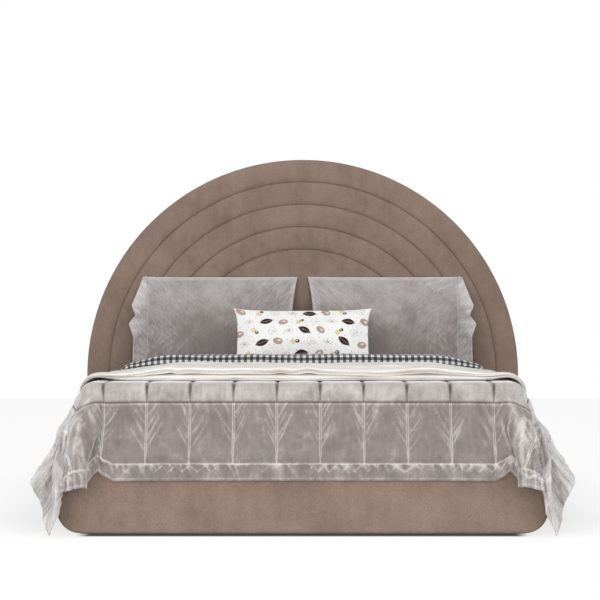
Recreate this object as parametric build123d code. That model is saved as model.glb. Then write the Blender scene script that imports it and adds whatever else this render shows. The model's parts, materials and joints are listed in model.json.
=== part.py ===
from build123d import *
import math
import os

# A double bed with an arched, channel-padded headboard. Millimetres, +X to the right seen from the foot,
# +Y towards the headboard, +Z up. The origin is on the floor under the middle centre leg.

# Driving sizes
mattress_width = 1600.0
mattress_length = 2000.0
mattress_height = 250.0
mattress_side_room = 10.0
mattress_end_room = 10.0
base_height = 300.0
floor_gap = 10.0
board_thickness = 28.0
foam_thickness = 40.0
cover_thickness = 2.0
arch_radius = 1083.0
arch_centre_height = 495.0
channel_pitch = 112.5
channel_count = 4
headboard_depth = 110.0

# Clearances and the overrun of cuts
touch = 0.3
fit_gap = 0.3
cut_over = 5.0

# Places that several pieces share
inner_half_width = mattress_width / 2 + mattress_side_room
inner_end = mattress_length / 2 + mattress_end_room
panel_depth = board_thickness + foam_thickness + cover_thickness
base_half_width = inner_half_width + panel_depth
foot_face = inner_end + panel_depth
head_rail_thickness = 25.0
head_end = inner_end + head_rail_thickness

# Shape of the upholstered base
lower_corner_radius = 85.0
upper_corner_radius = 30.0
front_edge_radius = 26.0
board_lift = 20.0
board_drop = 15.0
board_low = floor_gap + board_lift
board_high = base_height - board_drop


def save(node, *solids):
    shape = solids[0] if len(solids) == 1 else Compound(children=list(solids))
    export_step(shape, f"parts/{node}.step")


def block(x0, x1, y0, y1, z0, z1):
    centre = ((x0 + x1) / 2, (y0 + y1) / 2, (z0 + z1) / 2)
    return Pos(*centre) * Box(x1 - x0, y1 - y0, z1 - z0)


def mirrored(shape):
    return mirror(shape, about=Plane.YZ)


def one_solid(shape):
    return shape.solids().sort_by(SortBy.VOLUME)[-1]


# Base outline seen from the foot, drawn in by an inset on every side
def base_outline(inset):
    width = 2 * (base_half_width - inset)
    height = base_height - floor_gap - 2 * inset
    outline = Rectangle(width, height)
    low = outline.vertices().group_by(Axis.Y)[0]
    outline = fillet(low, lower_corner_radius - inset)
    high = outline.vertices().group_by(Axis.Y)[-1]
    outline = fillet(high, upper_corner_radius - inset)
    return Pos(0, (base_height + floor_gap) / 2) * outline


# Foot panel: the outline pushed forward from the panel's back face, its front edge rounded
def foot_block(inset, back_over):
    plane = Plane.XZ.offset(inner_end - back_over)
    solid = extrude(plane * base_outline(inset), panel_depth + back_over - inset)
    front = solid.faces().sort_by(Axis.Y)[0]
    return fillet(front.edges(), front_edge_radius - inset)


def make_foot_panel():
    foot_board_half = inner_half_width + board_thickness
    front = -inner_end - board_thickness
    board = block(-foot_board_half, foot_board_half, front, -inner_end, board_low, board_high)
    foam = foot_block(cover_thickness + touch, 0) - board
    cover = foot_block(0, 0) - foot_block(cover_thickness, cut_over)
    save("foot_board", drill_board(board, foot_bolt_places()))
    save("foot_foam", one_solid(foam))
    save("foot_cover", one_solid(cover))


# Side rails: the same outline, kept outside the mattress space, pushed along the bed
def side_rail(inset, inner_over, end_over):
    low = inner_half_width - inner_over
    high = base_half_width + cut_over
    window = Pos((low + high) / 2, base_height / 2) * Rectangle(high - low, base_height * 2)
    profile = base_outline(inset) & window
    plane = Plane.XZ.offset(inner_end - fit_gap + end_over)
    return extrude(plane * profile, -(inner_end + head_end - fit_gap + 2 * end_over))


def side_board_block():
    x1 = inner_half_width + board_thickness
    return block(inner_half_width, x1, -inner_end + fit_gap, head_end, board_low, board_high)


def make_side_rails():
    board = side_board_block()
    foam = side_rail(cover_thickness + touch, 0, 0) - board
    cover = side_rail(0, 0, 0) - side_rail(cover_thickness, cut_over, cut_over)
    bored = drill_board(board, side_bolt_places())
    save("side_board_right", bored)
    save("side_foam_right", one_solid(foam))
    save("side_cover_right", one_solid(cover))
    save("side_board_left", mirrored(bored))
    save("side_foam_left", mirrored(one_solid(foam)))
    save("side_cover_left", mirrored(one_solid(cover)))


# Corner posts stand on glides inside the corners and hold the boards together with flanged bolts
post_side = 60.0
post_high = 235.0
bolt_radius = 4.0
bolt_clearance = 0.3
bolt_bite = 20.0
bolt_head_radius = 7.0
bolt_head_height = 6.0
bolt_flange_radius = 10.0
bolt_flange_height = 2.0
side_bolt_heights = (80.0, 180.0)
end_bolt_heights = (120.0, 215.0)
post_middle = post_side / 2


def post_places():
    x = inner_half_width - post_middle
    y = inner_end - post_middle
    return {"front_left": (-x, -y), "front_right": (x, -y), "rear_left": (-x, y), "rear_right": (x, y)}


# A bolt lies along its axis with its flange at the origin and its shank going forward
def bolt(length):
    shank = Pos(0, 0, length / 2) * Cylinder(bolt_radius, length)
    flange = Pos(0, 0, -bolt_flange_height / 2) * Cylinder(bolt_flange_radius, bolt_flange_height)
    head_centre = -bolt_flange_height - bolt_head_height / 2
    head = Pos(0, 0, head_centre) * Cylinder(bolt_head_radius, bolt_head_height)
    return shank + flange + head


def along(point, direction):
    return Plane(origin=point, z_dir=direction)


# Each place is a point on the inner face of a post and the way its bolt goes
def side_bolt_places():
    x = inner_half_width - post_side
    y = inner_end - post_middle
    return [((x, s * y, z), (1, 0, 0)) for s in (-1, 1) for z in side_bolt_heights]


def foot_bolt_places():
    x = inner_half_width - post_middle
    y = -inner_end + post_side
    return [((s * x, y, z), (0, -1, 0)) for s in (-1, 1) for z in end_bolt_heights]


def head_bolt_places():
    x = inner_half_width - post_middle
    y = inner_end - post_side
    return [((s * x, y, z), (0, 1, 0)) for s in (-1, 1) for z in end_bolt_heights]


def bolt_hole(place):
    point, direction = place
    depth = post_side + bolt_bite + cut_over
    hole = Pos(0, 0, depth / 2 - cut_over) * Cylinder(bolt_radius + bolt_clearance, depth + cut_over)
    return along(point, direction) * hole


def drill_board(board, places):
    for place in places:
        board = board - bolt_hole(place)
    return board


def make_posts():
    right = side_bolt_places()
    left = [((-p[0], p[1], p[2]), (-1, 0, 0)) for p, _ in right]
    places = right + left + foot_bolt_places() + head_bolt_places()
    for name, (x, y) in post_places().items():
        post = block(x - post_middle, x + post_middle, y - post_middle, y + post_middle, floor_gap, post_high)
        near = [p for p in places if p[0][0] * x > 0 and p[0][1] * y > 0]
        save(f"corner_post_{name}", drill_board(post, near))
    length = post_side + bolt_bite
    bolts = [along(p, d) * bolt(length) for p, d in places]
    save("post_bolts", *bolts)


# Head rail between the side boards
def make_head_rail():
    half = inner_half_width - fit_gap
    rail = block(-half, half, inner_end, head_end, board_low, board_high)
    rail = drill_board(rail, head_bolt_places())
    save("head_rail", drill_headboard_holes(rail))


# Cleats carry the outer ends of the slats, the centre beam the inner ends
cleat_width = 40.0
cleat_height = 30.0
slat_seat = 255.0
beam_width = 70.0
beam_height = 50.0
bracket_wall = 4.0


def make_cleats():
    reach = inner_end - post_side - fit_gap
    low = slat_seat - cleat_height
    right = block(inner_half_width - cleat_width, inner_half_width, -reach, reach, low, slat_seat)
    save("side_cleat_right", right)
    save("side_cleat_left", mirrored(right))


bracket_reach = 50.0
bracket_cheek_height = 35.0


def make_beam():
    end = inner_end - bracket_wall - fit_gap
    save("centre_beam", block(-beam_width / 2, beam_width / 2, -end, end, slat_seat - beam_height, slat_seat))
    outer = beam_width / 2 + fit_gap + bracket_wall
    low = slat_seat - beam_height - bracket_wall
    high = low + bracket_wall + bracket_cheek_height
    cup = block(-outer, outer, inner_end - bracket_reach, inner_end, low, high)
    inside = beam_width / 2 + fit_gap
    room = block(-inside, inside, 0, inner_end - bracket_wall, low + bracket_wall, slat_seat)
    head_cup = cup - room
    save("beam_brackets", head_cup, mirror(head_cup, about=Plane.XZ))


# Centre legs: a steel tube with a top plate under the beam
leg_radius = 20.0
leg_wall = 2.5
leg_plate_length = 90.0
leg_plate_thickness = 4.0
leg_spacing = 600.0


def leg_places():
    return {"front": -leg_spacing, "middle": 0.0, "rear": leg_spacing}


def make_legs():
    top = slat_seat - beam_height
    tube_top = top - leg_plate_thickness
    tube_height = tube_top - floor_gap
    for name, y in leg_places().items():
        tube = Pos(0, y, floor_gap + tube_height / 2) * Cylinder(leg_radius, tube_height)
        bore_height = tube_height + cut_over
        bore = Pos(0, y, tube_top - bore_height / 2) * Cylinder(leg_radius - leg_wall, bore_height)
        half = beam_width / 2
        half_length = leg_plate_length / 2
        plate = block(-half, half, y - half_length, y + half_length, tube_top, top)
        save(f"centre_leg_{name}", (tube - bore) + plate)


# Sprung slats in two rows, each end in a low holder
slat_count = 14
slat_width = 70.0
slat_thickness = 18.0
slat_end_room = 4.0
holder_floor = 6.0
holder_length = 90.0
holder_lip = 8.0
holder_depth = 30.0
slat_run_end = 70.0


def slat_rows():
    reach = inner_end - slat_run_end
    step = 2 * reach / (slat_count - 1)
    return [-reach + i * step for i in range(slat_count)]


def holder(x0, x1, y):
    half = holder_length / 2
    body = block(x0, x1, y - half, y + half, slat_seat, slat_seat + holder_floor + holder_lip)
    seat = slat_width / 2 + fit_gap
    seat_low = slat_seat + holder_floor
    seat_high = seat_low + holder_lip + cut_over
    return body - block(x0 - cut_over, x1 + cut_over, y - seat, y + seat, seat_low, seat_high)


def make_slats():
    inner = slat_end_room
    outer = inner_half_width - slat_end_room
    low = slat_seat + holder_floor
    slats = []
    holders = []
    for y in slat_rows():
        slats.append(block(inner, outer, y - slat_width / 2, y + slat_width / 2, low, low + slat_thickness))
        holders.append(holder(inner, inner + holder_depth, y))
        holders.append(holder(outer - holder_depth, outer, y))
    save("slats_right", *slats)
    save("slats_left", *[mirrored(s) for s in slats])
    save("slat_holders", *holders, *[mirrored(h) for h in holders])


# Mattress on the slats, inside a fitted sheet
mattress_low = slat_seat + holder_floor + slat_thickness
sheet_thickness = 1.5
mattress_corner_radius = 60.0
mattress_edge_radius = 30.0
mattress_pad = 30.0
border_thickness = 5.0
sheet_top = mattress_low + mattress_height + sheet_thickness


def mattress_block(inset, z0, z1):
    width = mattress_width - 2 * inset
    length = mattress_length - 2 * inset
    outline = RectangleRounded(width, length, mattress_corner_radius - inset)
    return Pos(0, 0, z0) * extrude(outline, z1 - z0)


def rounded_top(solid, radius):
    return fillet(solid.faces().sort_by(Axis.Z)[-1].edges(), radius)


def make_mattress():
    skin = sheet_thickness + touch
    top = mattress_low + mattress_height - touch
    pad_low = top - mattress_pad
    base_top = mattress_low + mattress_pad
    bottom = mattress_block(skin, mattress_low, base_top)
    border = mattress_block(skin, base_top, pad_low)
    core_inset = skin + border_thickness
    border = border - mattress_block(core_inset, base_top - cut_over, pad_low + cut_over)
    core = mattress_block(core_inset + touch, base_top, pad_low)
    quilted = mattress_block(skin, pad_low, top)
    quilted = rounded_top(quilted, mattress_pad - touch)
    save("mattress_bottom_panel", bottom)
    save("mattress_border", border)
    save("mattress_spring_core", core)
    save("mattress_top_panel", quilted)
    outer = rounded_top(mattress_block(0, mattress_low, sheet_top), mattress_edge_radius)
    hollow = mattress_block(sheet_thickness, mattress_low - cut_over, sheet_top - sheet_thickness)
    hollow = rounded_top(hollow, mattress_edge_radius - sheet_thickness)
    save("fitted_sheet", outer - hollow)


# Headboard, seen from the foot as half rings on straight legs. Depths are measured back from its front.
headboard_gap = 1.0
pad_depth = 50.0
headboard_front = head_end + headboard_gap
headboard_back = headboard_front + headboard_depth
groove_depth = 16.0
centre_recess = 4.0
rim_round = 24.0
rim_foam_thickness = 15.0
core_front = headboard_front + pad_depth
core_thickness = 22.0
back_panel_thickness = 3.0
frame_width = 35.0
pad_floor = base_height
centre_radius = arch_radius - channel_count * channel_pitch
core_radius = arch_radius - cover_thickness - rim_foam_thickness
wide_channels = 2


# A profile in the radius and depth plane, turned over the arch and run straight down both legs
def arch_and_legs(profile, bottom):
    lifted = Plane.XY.offset(arch_centre_height) * profile
    axis = Axis((0, 0, arch_centre_height), (0, -1, 0))
    arch = revolve(lifted, axis, revolution_arc=180)
    leg = extrude(lifted, -(arch_centre_height - bottom))
    return arch + leg + mirrored(leg)


def channel_radii(index):
    inner = centre_radius + index * channel_pitch
    return inner, inner + channel_pitch


# The front line of one channel from groove to groove; the outermost rolls over the rim
def channel_front(index, sink, side_gap):
    inner, outer = channel_radii(index)
    groove = headboard_front + groove_depth + sink
    crown = headboard_front + sink
    middle = (inner + outer) / 2
    if index < channel_count - 1:
        points = ((inner + side_gap, groove), (middle, crown), (outer - side_gap, groove))
        return [ThreePointArc(*points)]
    roll = rim_round - sink
    shoulder = (outer - rim_round, headboard_front + centre_recess + sink)
    side = (outer - sink, headboard_front + centre_recess + rim_round)
    bend = roll * math.sqrt(0.5)
    mid = (side[0] - roll + bend, side[1] - bend)
    crest = ThreePointArc((inner + side_gap, groove), (middle, crown), shoulder)
    return [crest, ThreePointArc(shoulder, mid, side)]


# Foam under one channel, down to the board
def channel_foam(index):
    inner, outer = channel_radii(index)
    front = channel_front(index, cover_thickness + touch, touch)
    start = front[0] @ 0
    end = front[-1] @ 1
    back = core_front - touch
    if index == channel_count - 1:
        tail = Polyline((end.X, end.Y), (end.X, back), (inner + touch, back), (start.X, start.Y))
    else:
        tail = Polyline((end.X, end.Y), (outer - touch, back), (inner + touch, back), (start.X, start.Y))
    return make_face([*front, tail])


# Cover over one channel: the front line and the same line set back by the cloth's thickness
def channel_cover(index):
    front = channel_front(index, 0, 0)
    back = channel_front(index, cover_thickness, 0)
    first, first_back = front[0] @ 0, back[0] @ 0
    last, last_back = front[-1] @ 1, back[-1] @ 1
    start = Line((first_back.X, first_back.Y), (first.X, first.Y))
    if index < channel_count - 1:
        end = Line((last.X, last.Y), (last_back.X, last_back.Y))
        return make_face([start, *front, end, *back])
    rear = headboard_back
    end = Polyline((last.X, last.Y), (last.X, rear), (last_back.X, rear), (last_back.X, last_back.Y))
    return make_face([start, *front, end, *back])


def centre_front(sink, side_gap):
    flat = headboard_front + centre_recess + sink
    groove = headboard_front + groove_depth + sink
    bend = centre_radius - channel_pitch / 2
    middle = ((bend + centre_radius) / 2, flat + groove_depth / 4)
    line = Line((0, flat), (bend, flat))
    return [line, ThreePointArc((bend, flat), middle, (centre_radius - side_gap, groove))]


def centre_foam():
    front = centre_front(cover_thickness + touch, touch)
    start = front[0] @ 0
    end = front[-1] @ 1
    back = core_front - touch
    tail = Polyline((end.X, end.Y), (end.X, back), (0, back), (start.X, start.Y))
    return make_face([*front, tail])


def centre_cover():
    front = centre_front(0, 0)
    back = centre_front(cover_thickness, 0)
    first, first_back = front[0] @ 0, back[0] @ 0
    last, last_back = front[-1] @ 1, back[-1] @ 1
    start = Line((first_back.X, first_back.Y), (first.X, first.Y))
    end = Line((last.X, last.Y), (last_back.X, last_back.Y))
    return make_face([start, *front, end, *back])


def channel_bottom(index):
    return floor_gap if index >= channel_count - wide_channels else pad_floor


def make_headboard_pads():
    cover = arch_and_legs(centre_cover(), pad_floor)
    save("centre_panel_foam", one_solid(arch_and_legs(centre_foam(), pad_floor)))
    for i in range(channel_count):
        cover = cover + arch_and_legs(channel_cover(i), channel_bottom(i))
        foam = arch_and_legs(channel_foam(i), channel_bottom(i))
        save(f"channel_foam_{i + 1}", one_solid(foam))
    save("headboard_cover", one_solid(cover))


# A flat ring profile between two radii and two depths
def ring_profile(inner, outer, front, back):
    return Pos((inner + outer) / 2, (front + back) / 2) * Rectangle(outer - inner, back - front)


# An arched sheet of one thickness
def arched_sheet(radius, front, back):
    return arch_and_legs(ring_profile(0, radius, front, back), floor_gap)


upright_width = 60.0
upright_place = 380.0
low_rail_height = 70.0
middle_rail_low = 880.0


def make_headboard_frame():
    core_back = core_front + core_thickness
    frame_back = headboard_back - back_panel_thickness
    core = arched_sheet(core_radius, core_front, core_back)
    save("headboard_board", one_solid(drill_headboard_holes(core)))
    foam_inner = core_radius + touch
    foam_outer = arch_radius - cover_thickness - touch
    rim = arch_and_legs(ring_profile(foam_inner, foam_outer, core_front, frame_back), floor_gap)
    save("rim_foam", one_solid(rim))
    panel = arched_sheet(arch_radius - cover_thickness - touch, frame_back, headboard_back)
    save("back_panel", one_solid(panel))
    frame_inner = core_radius - frame_width
    arch = arch_and_legs(ring_profile(frame_inner, core_radius, core_back, frame_back), floor_gap)
    save("back_frame_rim", one_solid(arch))
    low_top = floor_gap + low_rail_height
    side = frame_inner - fit_gap
    save("back_frame_low_rail", block(-side, side, core_back, frame_back, floor_gap, low_top))
    far = upright_place + upright_width / 2
    near = upright_place - upright_width / 2
    top = arch_centre_height + math.sqrt(side**2 - far**2)
    upright = block(near, far, core_back, frame_back, low_top, top)
    save("back_frame_upright_right", upright)
    save("back_frame_upright_left", mirrored(upright))
    middle = block(-near, near, core_back, frame_back, middle_rail_low, middle_rail_low + low_rail_height)
    save("back_frame_middle_rail", middle)


# The mounting board fills the padding's depth below the pads; bolts go through it into the headboard
mounting_drop = 15.0
headboard_bolt_columns = (200.0, 600.0)
headboard_bolt_heights = (120.0, 200.0)
nut_flange_radius = 12.0
nut_flange_height = 2.0
nut_barrel_radius = 5.5
nut_barrel_length = 12.0


def headboard_bolt_points():
    columns = [s * x for s in (-1, 1) for x in headboard_bolt_columns]
    return [(x, inner_end, z) for x in columns for z in headboard_bolt_heights]


def drill_headboard_holes(solid):
    length = core_front + core_thickness - inner_end + 2 * cut_over
    core_back = core_front + core_thickness
    for point in headboard_bolt_points():
        hole = Pos(0, 0, length / 2 - cut_over) * Cylinder(bolt_radius + bolt_clearance, length)
        solid = solid - along(point, (0, 1, 0)) * hole
        socket_length = nut_barrel_length + fit_gap
        socket = Pos(0, 0, -socket_length / 2) * Cylinder(nut_barrel_radius + fit_gap, socket_length)
        solid = solid - along((point[0], core_back, point[2]), (0, 1, 0)) * socket
    return solid


def make_mounting():
    half = arch_radius - wide_channels * channel_pitch - touch
    board = block(-half, half, head_end, core_front, board_low, pad_floor - mounting_drop)
    save("mounting_board", drill_headboard_holes(board))
    core_back = core_front + core_thickness
    bolts = []
    nuts = []
    for point in headboard_bolt_points():
        bolts.append(along(point, (0, 1, 0)) * bolt(core_back + nut_flange_height - inner_end))
        flange = Pos(0, 0, nut_flange_height / 2) * Cylinder(nut_flange_radius, nut_flange_height)
        barrel = Pos(0, 0, -nut_barrel_length / 2) * Cylinder(nut_barrel_radius, nut_barrel_length)
        bore_length = nut_barrel_length + nut_flange_height + 2 * cut_over
        bore = Cylinder(bolt_radius + bolt_clearance, bore_length)
        nuts.append(along((point[0], core_back, point[2]), (0, 1, 0)) * (flange + barrel - bore))
    save("headboard_bolts", *bolts)
    save("headboard_tee_nuts", *nuts)


# Glides under posts, legs and headboard
glide_side = 50.0
leg_glide_radius = 23.0
leg_plug_height = 15.0
headboard_glide_shares = (0.277, 0.877)


def square_glide(x, y, side_y):
    half = glide_side / 2
    return block(x - half, x + half, y - side_y / 2, y + side_y / 2, 0, floor_gap)


def make_glides():
    posts = [square_glide(x, y, glide_side) for x, y in post_places().values()]
    legs = []
    for y in leg_places().values():
        foot = Pos(0, y, floor_gap / 2) * Cylinder(leg_glide_radius, floor_gap)
        plug_radius = leg_radius - leg_wall - fit_gap
        plug = Pos(0, y, floor_gap + leg_plug_height / 2) * Cylinder(plug_radius, leg_plug_height)
        legs.append(foot + plug)
    board_middle = (core_front + headboard_back) / 2
    depth = headboard_back - core_front
    places = [side * share * arch_radius for side in (-1, 1) for share in headboard_glide_shares]
    boards = [square_glide(x, board_middle, depth) for x in places]
    save("floor_glides", *posts)
    save("leg_glides", *legs)
    save("headboard_glides", *boards)


# Quilt: a cap over the mattress and a band of cloth that hangs from it on three sides
cloth = 17.0
soft_touch = 0.4
head_room = 440.0
cap_drop = 46.5
front_hem_height = 205.0
side_hem_height = 105.0
tail_tip_height = 3.0
column_count = 9
column_inset = 93.5
column_width = (mattress_width - 2 * column_inset) / column_count
column_puff = 9.0
pleat_count = 8
pleat_depth = 28.0
pleat_setback = 130.0
mattress_half = mattress_width / 2
mattress_end = mattress_length / 2
quilt_head_end = mattress_end - head_room
quilt_top = sheet_top + soft_touch + cloth
band_top = sheet_top - cap_drop
pleat_start = mattress_end - pleat_setback
overhang = foot_face - mattress_end
cap_corner = mattress_corner_radius + soft_touch + cloth
crest_share = 0.62
valley_share = 0.12

# Levels of the hanging band, as shares: height from its top to the front hem, reach out at the foot and
# at the sides in overhangs, corner radius in cap corners, puff of the columns, depth of the pleats
band_level_shares = (
    (0.0, 0.0, 0.0, 1.0, 0.2, 0.06),
    (0.387, 0.575, 0.625, 0.8, 1.0, 0.22),
    (0.774, 1.025, 1.15, 0.62, 0.2, 0.45),
    (0.889, 1.062, 1.225, 0.633, 0.6, 0.55),
    (1.0, 1.088, 1.3, 0.646, 0.1, 0.65),
)
# Levels below the front hem, as shares: height from it to the side hem, reaches, corner radius, the angle
# where the corner's cloth starts in right angles, depth of the pleats
skirt_level_shares = (
    (0.0, 1.088, 1.3, 0.646, -1.0, 0.65),
    (0.45, 1.475, 1.75, 0.98, -0.93, 0.8),
    (1.0, 1.4, 1.8, 0.8, -0.73, 1.0),
)
# Levels of a corner tail, as shares: height from the side hem to the tip, its centre's reach past the skirt's
# corner in overhangs, radius in cap corners, start and end angle in right angles
tail_level_shares = (
    (0.0, 0.0, 0.8, -0.73, -0.04),
    (0.56, 0.2, 0.48, -0.69, -0.02),
    (1.0, 0.425, 0.18, -0.69, 0.04),
)


def between(share, start, end):
    return start + (end - start) * share


def arc_3d(a, b, c, z):
    return ThreePointArc((a[0], a[1], z), (b[0], b[1], z), (c[0], c[1], z))


def polar(centre, radius, angle):
    turn = math.radians(angle)
    return (centre[0] + radius * math.cos(turn), centre[1] + radius * math.sin(turn))


# The cloth's outer lines at the foot and at the right, for reaches in overhangs
def outer_lines(front_share, side_share):
    front = -(mattress_end + soft_touch + cloth + front_share * overhang)
    side = mattress_half + soft_touch + cloth + side_share * overhang
    return front, side


# Right side of the band from the corner to the head end, as crests and shallow valleys
def side_chain(start_y, side, depth, shift, z):
    x = side - shift
    pitch = (quilt_head_end + pleat_start) / pleat_count
    flat_mid = (x + depth * valley_share, (start_y - pleat_start) / 2)
    edges = [arc_3d((x, start_y), flat_mid, (x, -pleat_start), z)]
    for i in range(pleat_count):
        y0 = -pleat_start + i * pitch
        y1 = y0 + pitch * crest_share
        y2 = y0 + pitch
        edges.append(arc_3d((x, y0), (x + depth, (y0 + y1) / 2), (x, y1), z))
        edges.append(arc_3d((x, y1), (x - depth * valley_share, (y1 + y2) / 2), (x, y2), z))
    return edges


def front_chain(corner_x, front, puff, shift, z):
    half = column_width * column_count / 2
    marks = [-corner_x] + [-half + i * column_width for i in range(column_count + 1)] + [corner_x]
    y = front + shift
    edges = []
    for a, b in zip(marks, marks[1:]):
        edges.append(arc_3d((a, y), ((a + b) / 2, y - puff), (b, y), z))
    return edges


def flip_points(edges):
    return [edge.mirror(Plane.YZ) for edge in edges]


def corner_arc(centre, radius, start, end, z):
    middle = (start + end) / 2
    return arc_3d(polar(centre, radius, start), polar(centre, radius, middle), polar(centre, radius, end), z)


def level_line(a, b, z):
    return Line((a[0], a[1], z), (b[0], b[1], z))


def band_face(level):
    height, front_share, side_share, radius_share, puff_share, pleat_share = level
    z = between(height, band_top, front_hem_height)
    front, side = outer_lines(front_share, side_share)
    radius = cap_corner * radius_share
    centre = (side - radius, front + radius)
    puff = column_puff * puff_share
    depth = pleat_depth * pleat_share
    edges = []
    for shift in (0.0, cloth):
        right = side_chain(centre[1], side, depth, shift, z)
        corner = corner_arc(centre, radius - shift, -90, 0, z)
        edges += front_chain(centre[0], front, puff, shift, z) + [corner] + right
        edges += flip_points([corner] + right)
    for s in (-1, 1):
        edges.append(level_line((s * side, quilt_head_end), (s * (side - cloth), quilt_head_end), z))
    return Face(Wire(edges))


def skirt_corner(level):
    _, front_share, side_share, radius_share, _, _ = level
    front, side = outer_lines(front_share, side_share)
    radius = cap_corner * radius_share
    return (side - radius, front + radius), radius, side


# The skirt below the front hem, on the right: side pleats and the corner
def skirt_face(level):
    height, _, _, _, start_share, pleat_share = level
    z = between(height, front_hem_height, side_hem_height)
    centre, radius, side = skirt_corner(level)
    start = start_share * 90
    depth = pleat_depth * pleat_share
    edges = []
    for shift in (0.0, cloth):
        edges.append(corner_arc(centre, radius - shift, start, 0, z))
        edges += side_chain(centre[1], side, depth, shift, z)
    edges.append(level_line(polar(centre, radius, start), polar(centre, radius - cloth, start), z))
    edges.append(level_line((side, quilt_head_end), (side - cloth, quilt_head_end), z))
    return Face(Wire(edges))


def tail_face(level, corner):
    height, past_share, radius_share, start_share, end_share = level
    z = between(height, side_hem_height, tail_tip_height)
    past = past_share * overhang
    centre = (corner[0] + past, corner[1] - past)
    radius = cap_corner * radius_share
    inner = radius - min(cloth, radius / 2)
    start, end = start_share * 90, end_share * 90
    edges = [corner_arc(centre, r, start, end, z) for r in (radius, inner)]
    for angle in (start, end):
        edges.append(level_line(polar(centre, radius, angle), polar(centre, inner, angle), z))
    return Face(Wire(edges))


def quilt_cap():
    low = sheet_top + soft_touch
    high = low + cloth
    outer = mattress_shell(soft_touch + cloth, high)
    inner = mattress_shell(soft_touch, low)
    cap = outer - inner
    past = mattress_end + cloth + cut_over
    reach = mattress_half + cloth + cut_over
    keep = block(-reach, reach, -past - cloth, quilt_head_end, band_top, high + cut_over)
    return cap & keep


# The mattress's outer shape grown by an offset, with its rounded top edge
def mattress_shell(offset, top):
    width = mattress_width + 2 * offset
    length = mattress_length + 2 * offset
    outline = RectangleRounded(width, length, mattress_corner_radius + offset)
    solid = Pos(0, 0, mattress_low) * extrude(outline, top - mattress_low)
    return rounded_top(solid, mattress_edge_radius + offset)


# A folded band of cloth across the bed: its section run over the top, round the shoulder and down the side
drape_turn = 63.0


def draped_band(section, drop):
    centre_x = mattress_half - mattress_edge_radius
    centre_z = sheet_top - mattress_edge_radius
    radius = mattress_edge_radius + soft_touch + cloth
    turn = math.radians(drape_turn)
    top = Line((0, 0, centre_z + radius), (centre_x, 0, centre_z + radius))
    bend_mid = (centre_x + radius * math.sin(turn / 2), 0, centre_z + radius * math.cos(turn / 2))
    bend_end = (centre_x + radius * math.sin(turn), 0, centre_z + radius * math.cos(turn))
    bend = ThreePointArc(top @ 1, bend_mid, bend_end)
    foot = (bend_end[0] + drop * math.cos(turn), 0, bend_end[2] - drop * math.sin(turn))
    side = Line(bend_end, foot)
    half = sweep(Plane.YZ * section, path=Wire([top, bend, side]))
    return half + mirrored(half)


fold_width = 233.0
fold_setback = 15.0
fold_height = 58.0
fold_drop = 120.0
fold_back = quilt_head_end - fold_setback
fold_front = fold_back - fold_width
fold_round_share = 0.42


# Section of a folded edge: rounded at both ends, from a low to a high line
def fold_section(front, back, low, high, radius):
    face = Pos((front + back) / 2, (low + high) / 2) * Rectangle(back - front, high - low)
    return fillet(face.vertices(), radius)


def make_quilt():
    band = loft([band_face(level) for level in band_level_shares])
    skirt = loft([skirt_face(level) for level in skirt_level_shares])
    corner, _, _ = skirt_corner(skirt_level_shares[-1])
    tail = loft([tail_face(level, corner) for level in tail_level_shares])
    lower = skirt + tail
    fold_radius = fold_height * fold_round_share
    section = fold_section(fold_front, fold_back, quilt_top + soft_touch, quilt_top + fold_height, fold_radius)
    spread = quilt_cap() + band + lower + mirrored(lower)
    save("quilt", one_solid(spread), one_solid(draped_band(section, fold_drop)))


# Gingham sheet turned down over the quilt's folded head end
gingham_thickness = 8.0
gingham_drop = 150.0
gingham_round = 26.0
gingham_front = fold_front - soft_touch - gingham_thickness
gingham_back = quilt_head_end


def make_gingham_sheet():
    low = quilt_top + soft_touch
    high = quilt_top + fold_height + soft_touch + gingham_thickness
    past = gingham_back + gingham_round
    outer = fold_section(gingham_front, past, low, high, gingham_round)
    inner_low = low - gingham_thickness - cut_over
    inner_front = fold_front - soft_touch
    inner_high = high - gingham_thickness
    inner_past = past + gingham_round
    inner = fold_section(inner_front, inner_past, inner_low, inner_high, gingham_round - gingham_thickness)
    tail = Pos(past, high / 2) * Rectangle(2 * gingham_round, 2 * high)
    save("gingham_sheet", one_solid(draped_band(outer - inner - tail, gingham_drop)))


# Cream blanket, folded double: two rounded edges show at its front with a dark gap between them
blanket_setback = 144.0
blanket_width = 599.0
blanket_layer = 24.0
blanket_gap = 2.0
blanket_gap_depth = 60.0
blanket_drop = 200.0
blanket_front = -mattress_end + blanket_setback
blanket_back = blanket_front + blanket_width
blanket_round_share = 0.48


def make_blanket():
    low = quilt_top + soft_touch
    middle = low + blanket_layer
    high = middle + blanket_gap + blanket_layer
    edge = blanket_layer / 2
    radius = blanket_layer * blanket_round_share
    lower = fold_section(blanket_front, blanket_back, low, middle, radius)
    upper = fold_section(blanket_front - edge / 2, blanket_back, middle + blanket_gap, high, radius)
    join_front = blanket_front + blanket_gap_depth
    join_back = blanket_back - edge
    join = Pos((join_front + join_back) / 2, (low + high) / 2) * Rectangle(join_back - join_front, high - low)
    save("cream_blanket", one_solid(draped_band(lower + join + upper, blanket_drop)))


# Cushions: an outline with drawn-in sides, smaller and smaller up each crown
crown_level_shares = (0.0, 0.3, 0.62, 0.86, 1.0)
crown_size_shares = (1.0, 0.95, 0.84, 0.66, 0.38)
corner_round_share = 0.06


def cushion_outline(width, height, pull, size, z):
    w, h, p = width * size / 2, height * size / 2, pull * size
    corners = [(-w, -h), (w, -h), (w, h), (-w, h)]
    middles = [(0, -h + p), (w - p, 0), (0, h - p), (-w + p, 0)]
    sides = [ThreePointArc(corners[i], middles[i], corners[(i + 1) % 4]) for i in range(4)]
    face = make_face(sides)
    face = fillet(face.vertices(), corner_round_share * height * size)
    return Pos(0, 0, z) * face


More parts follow.
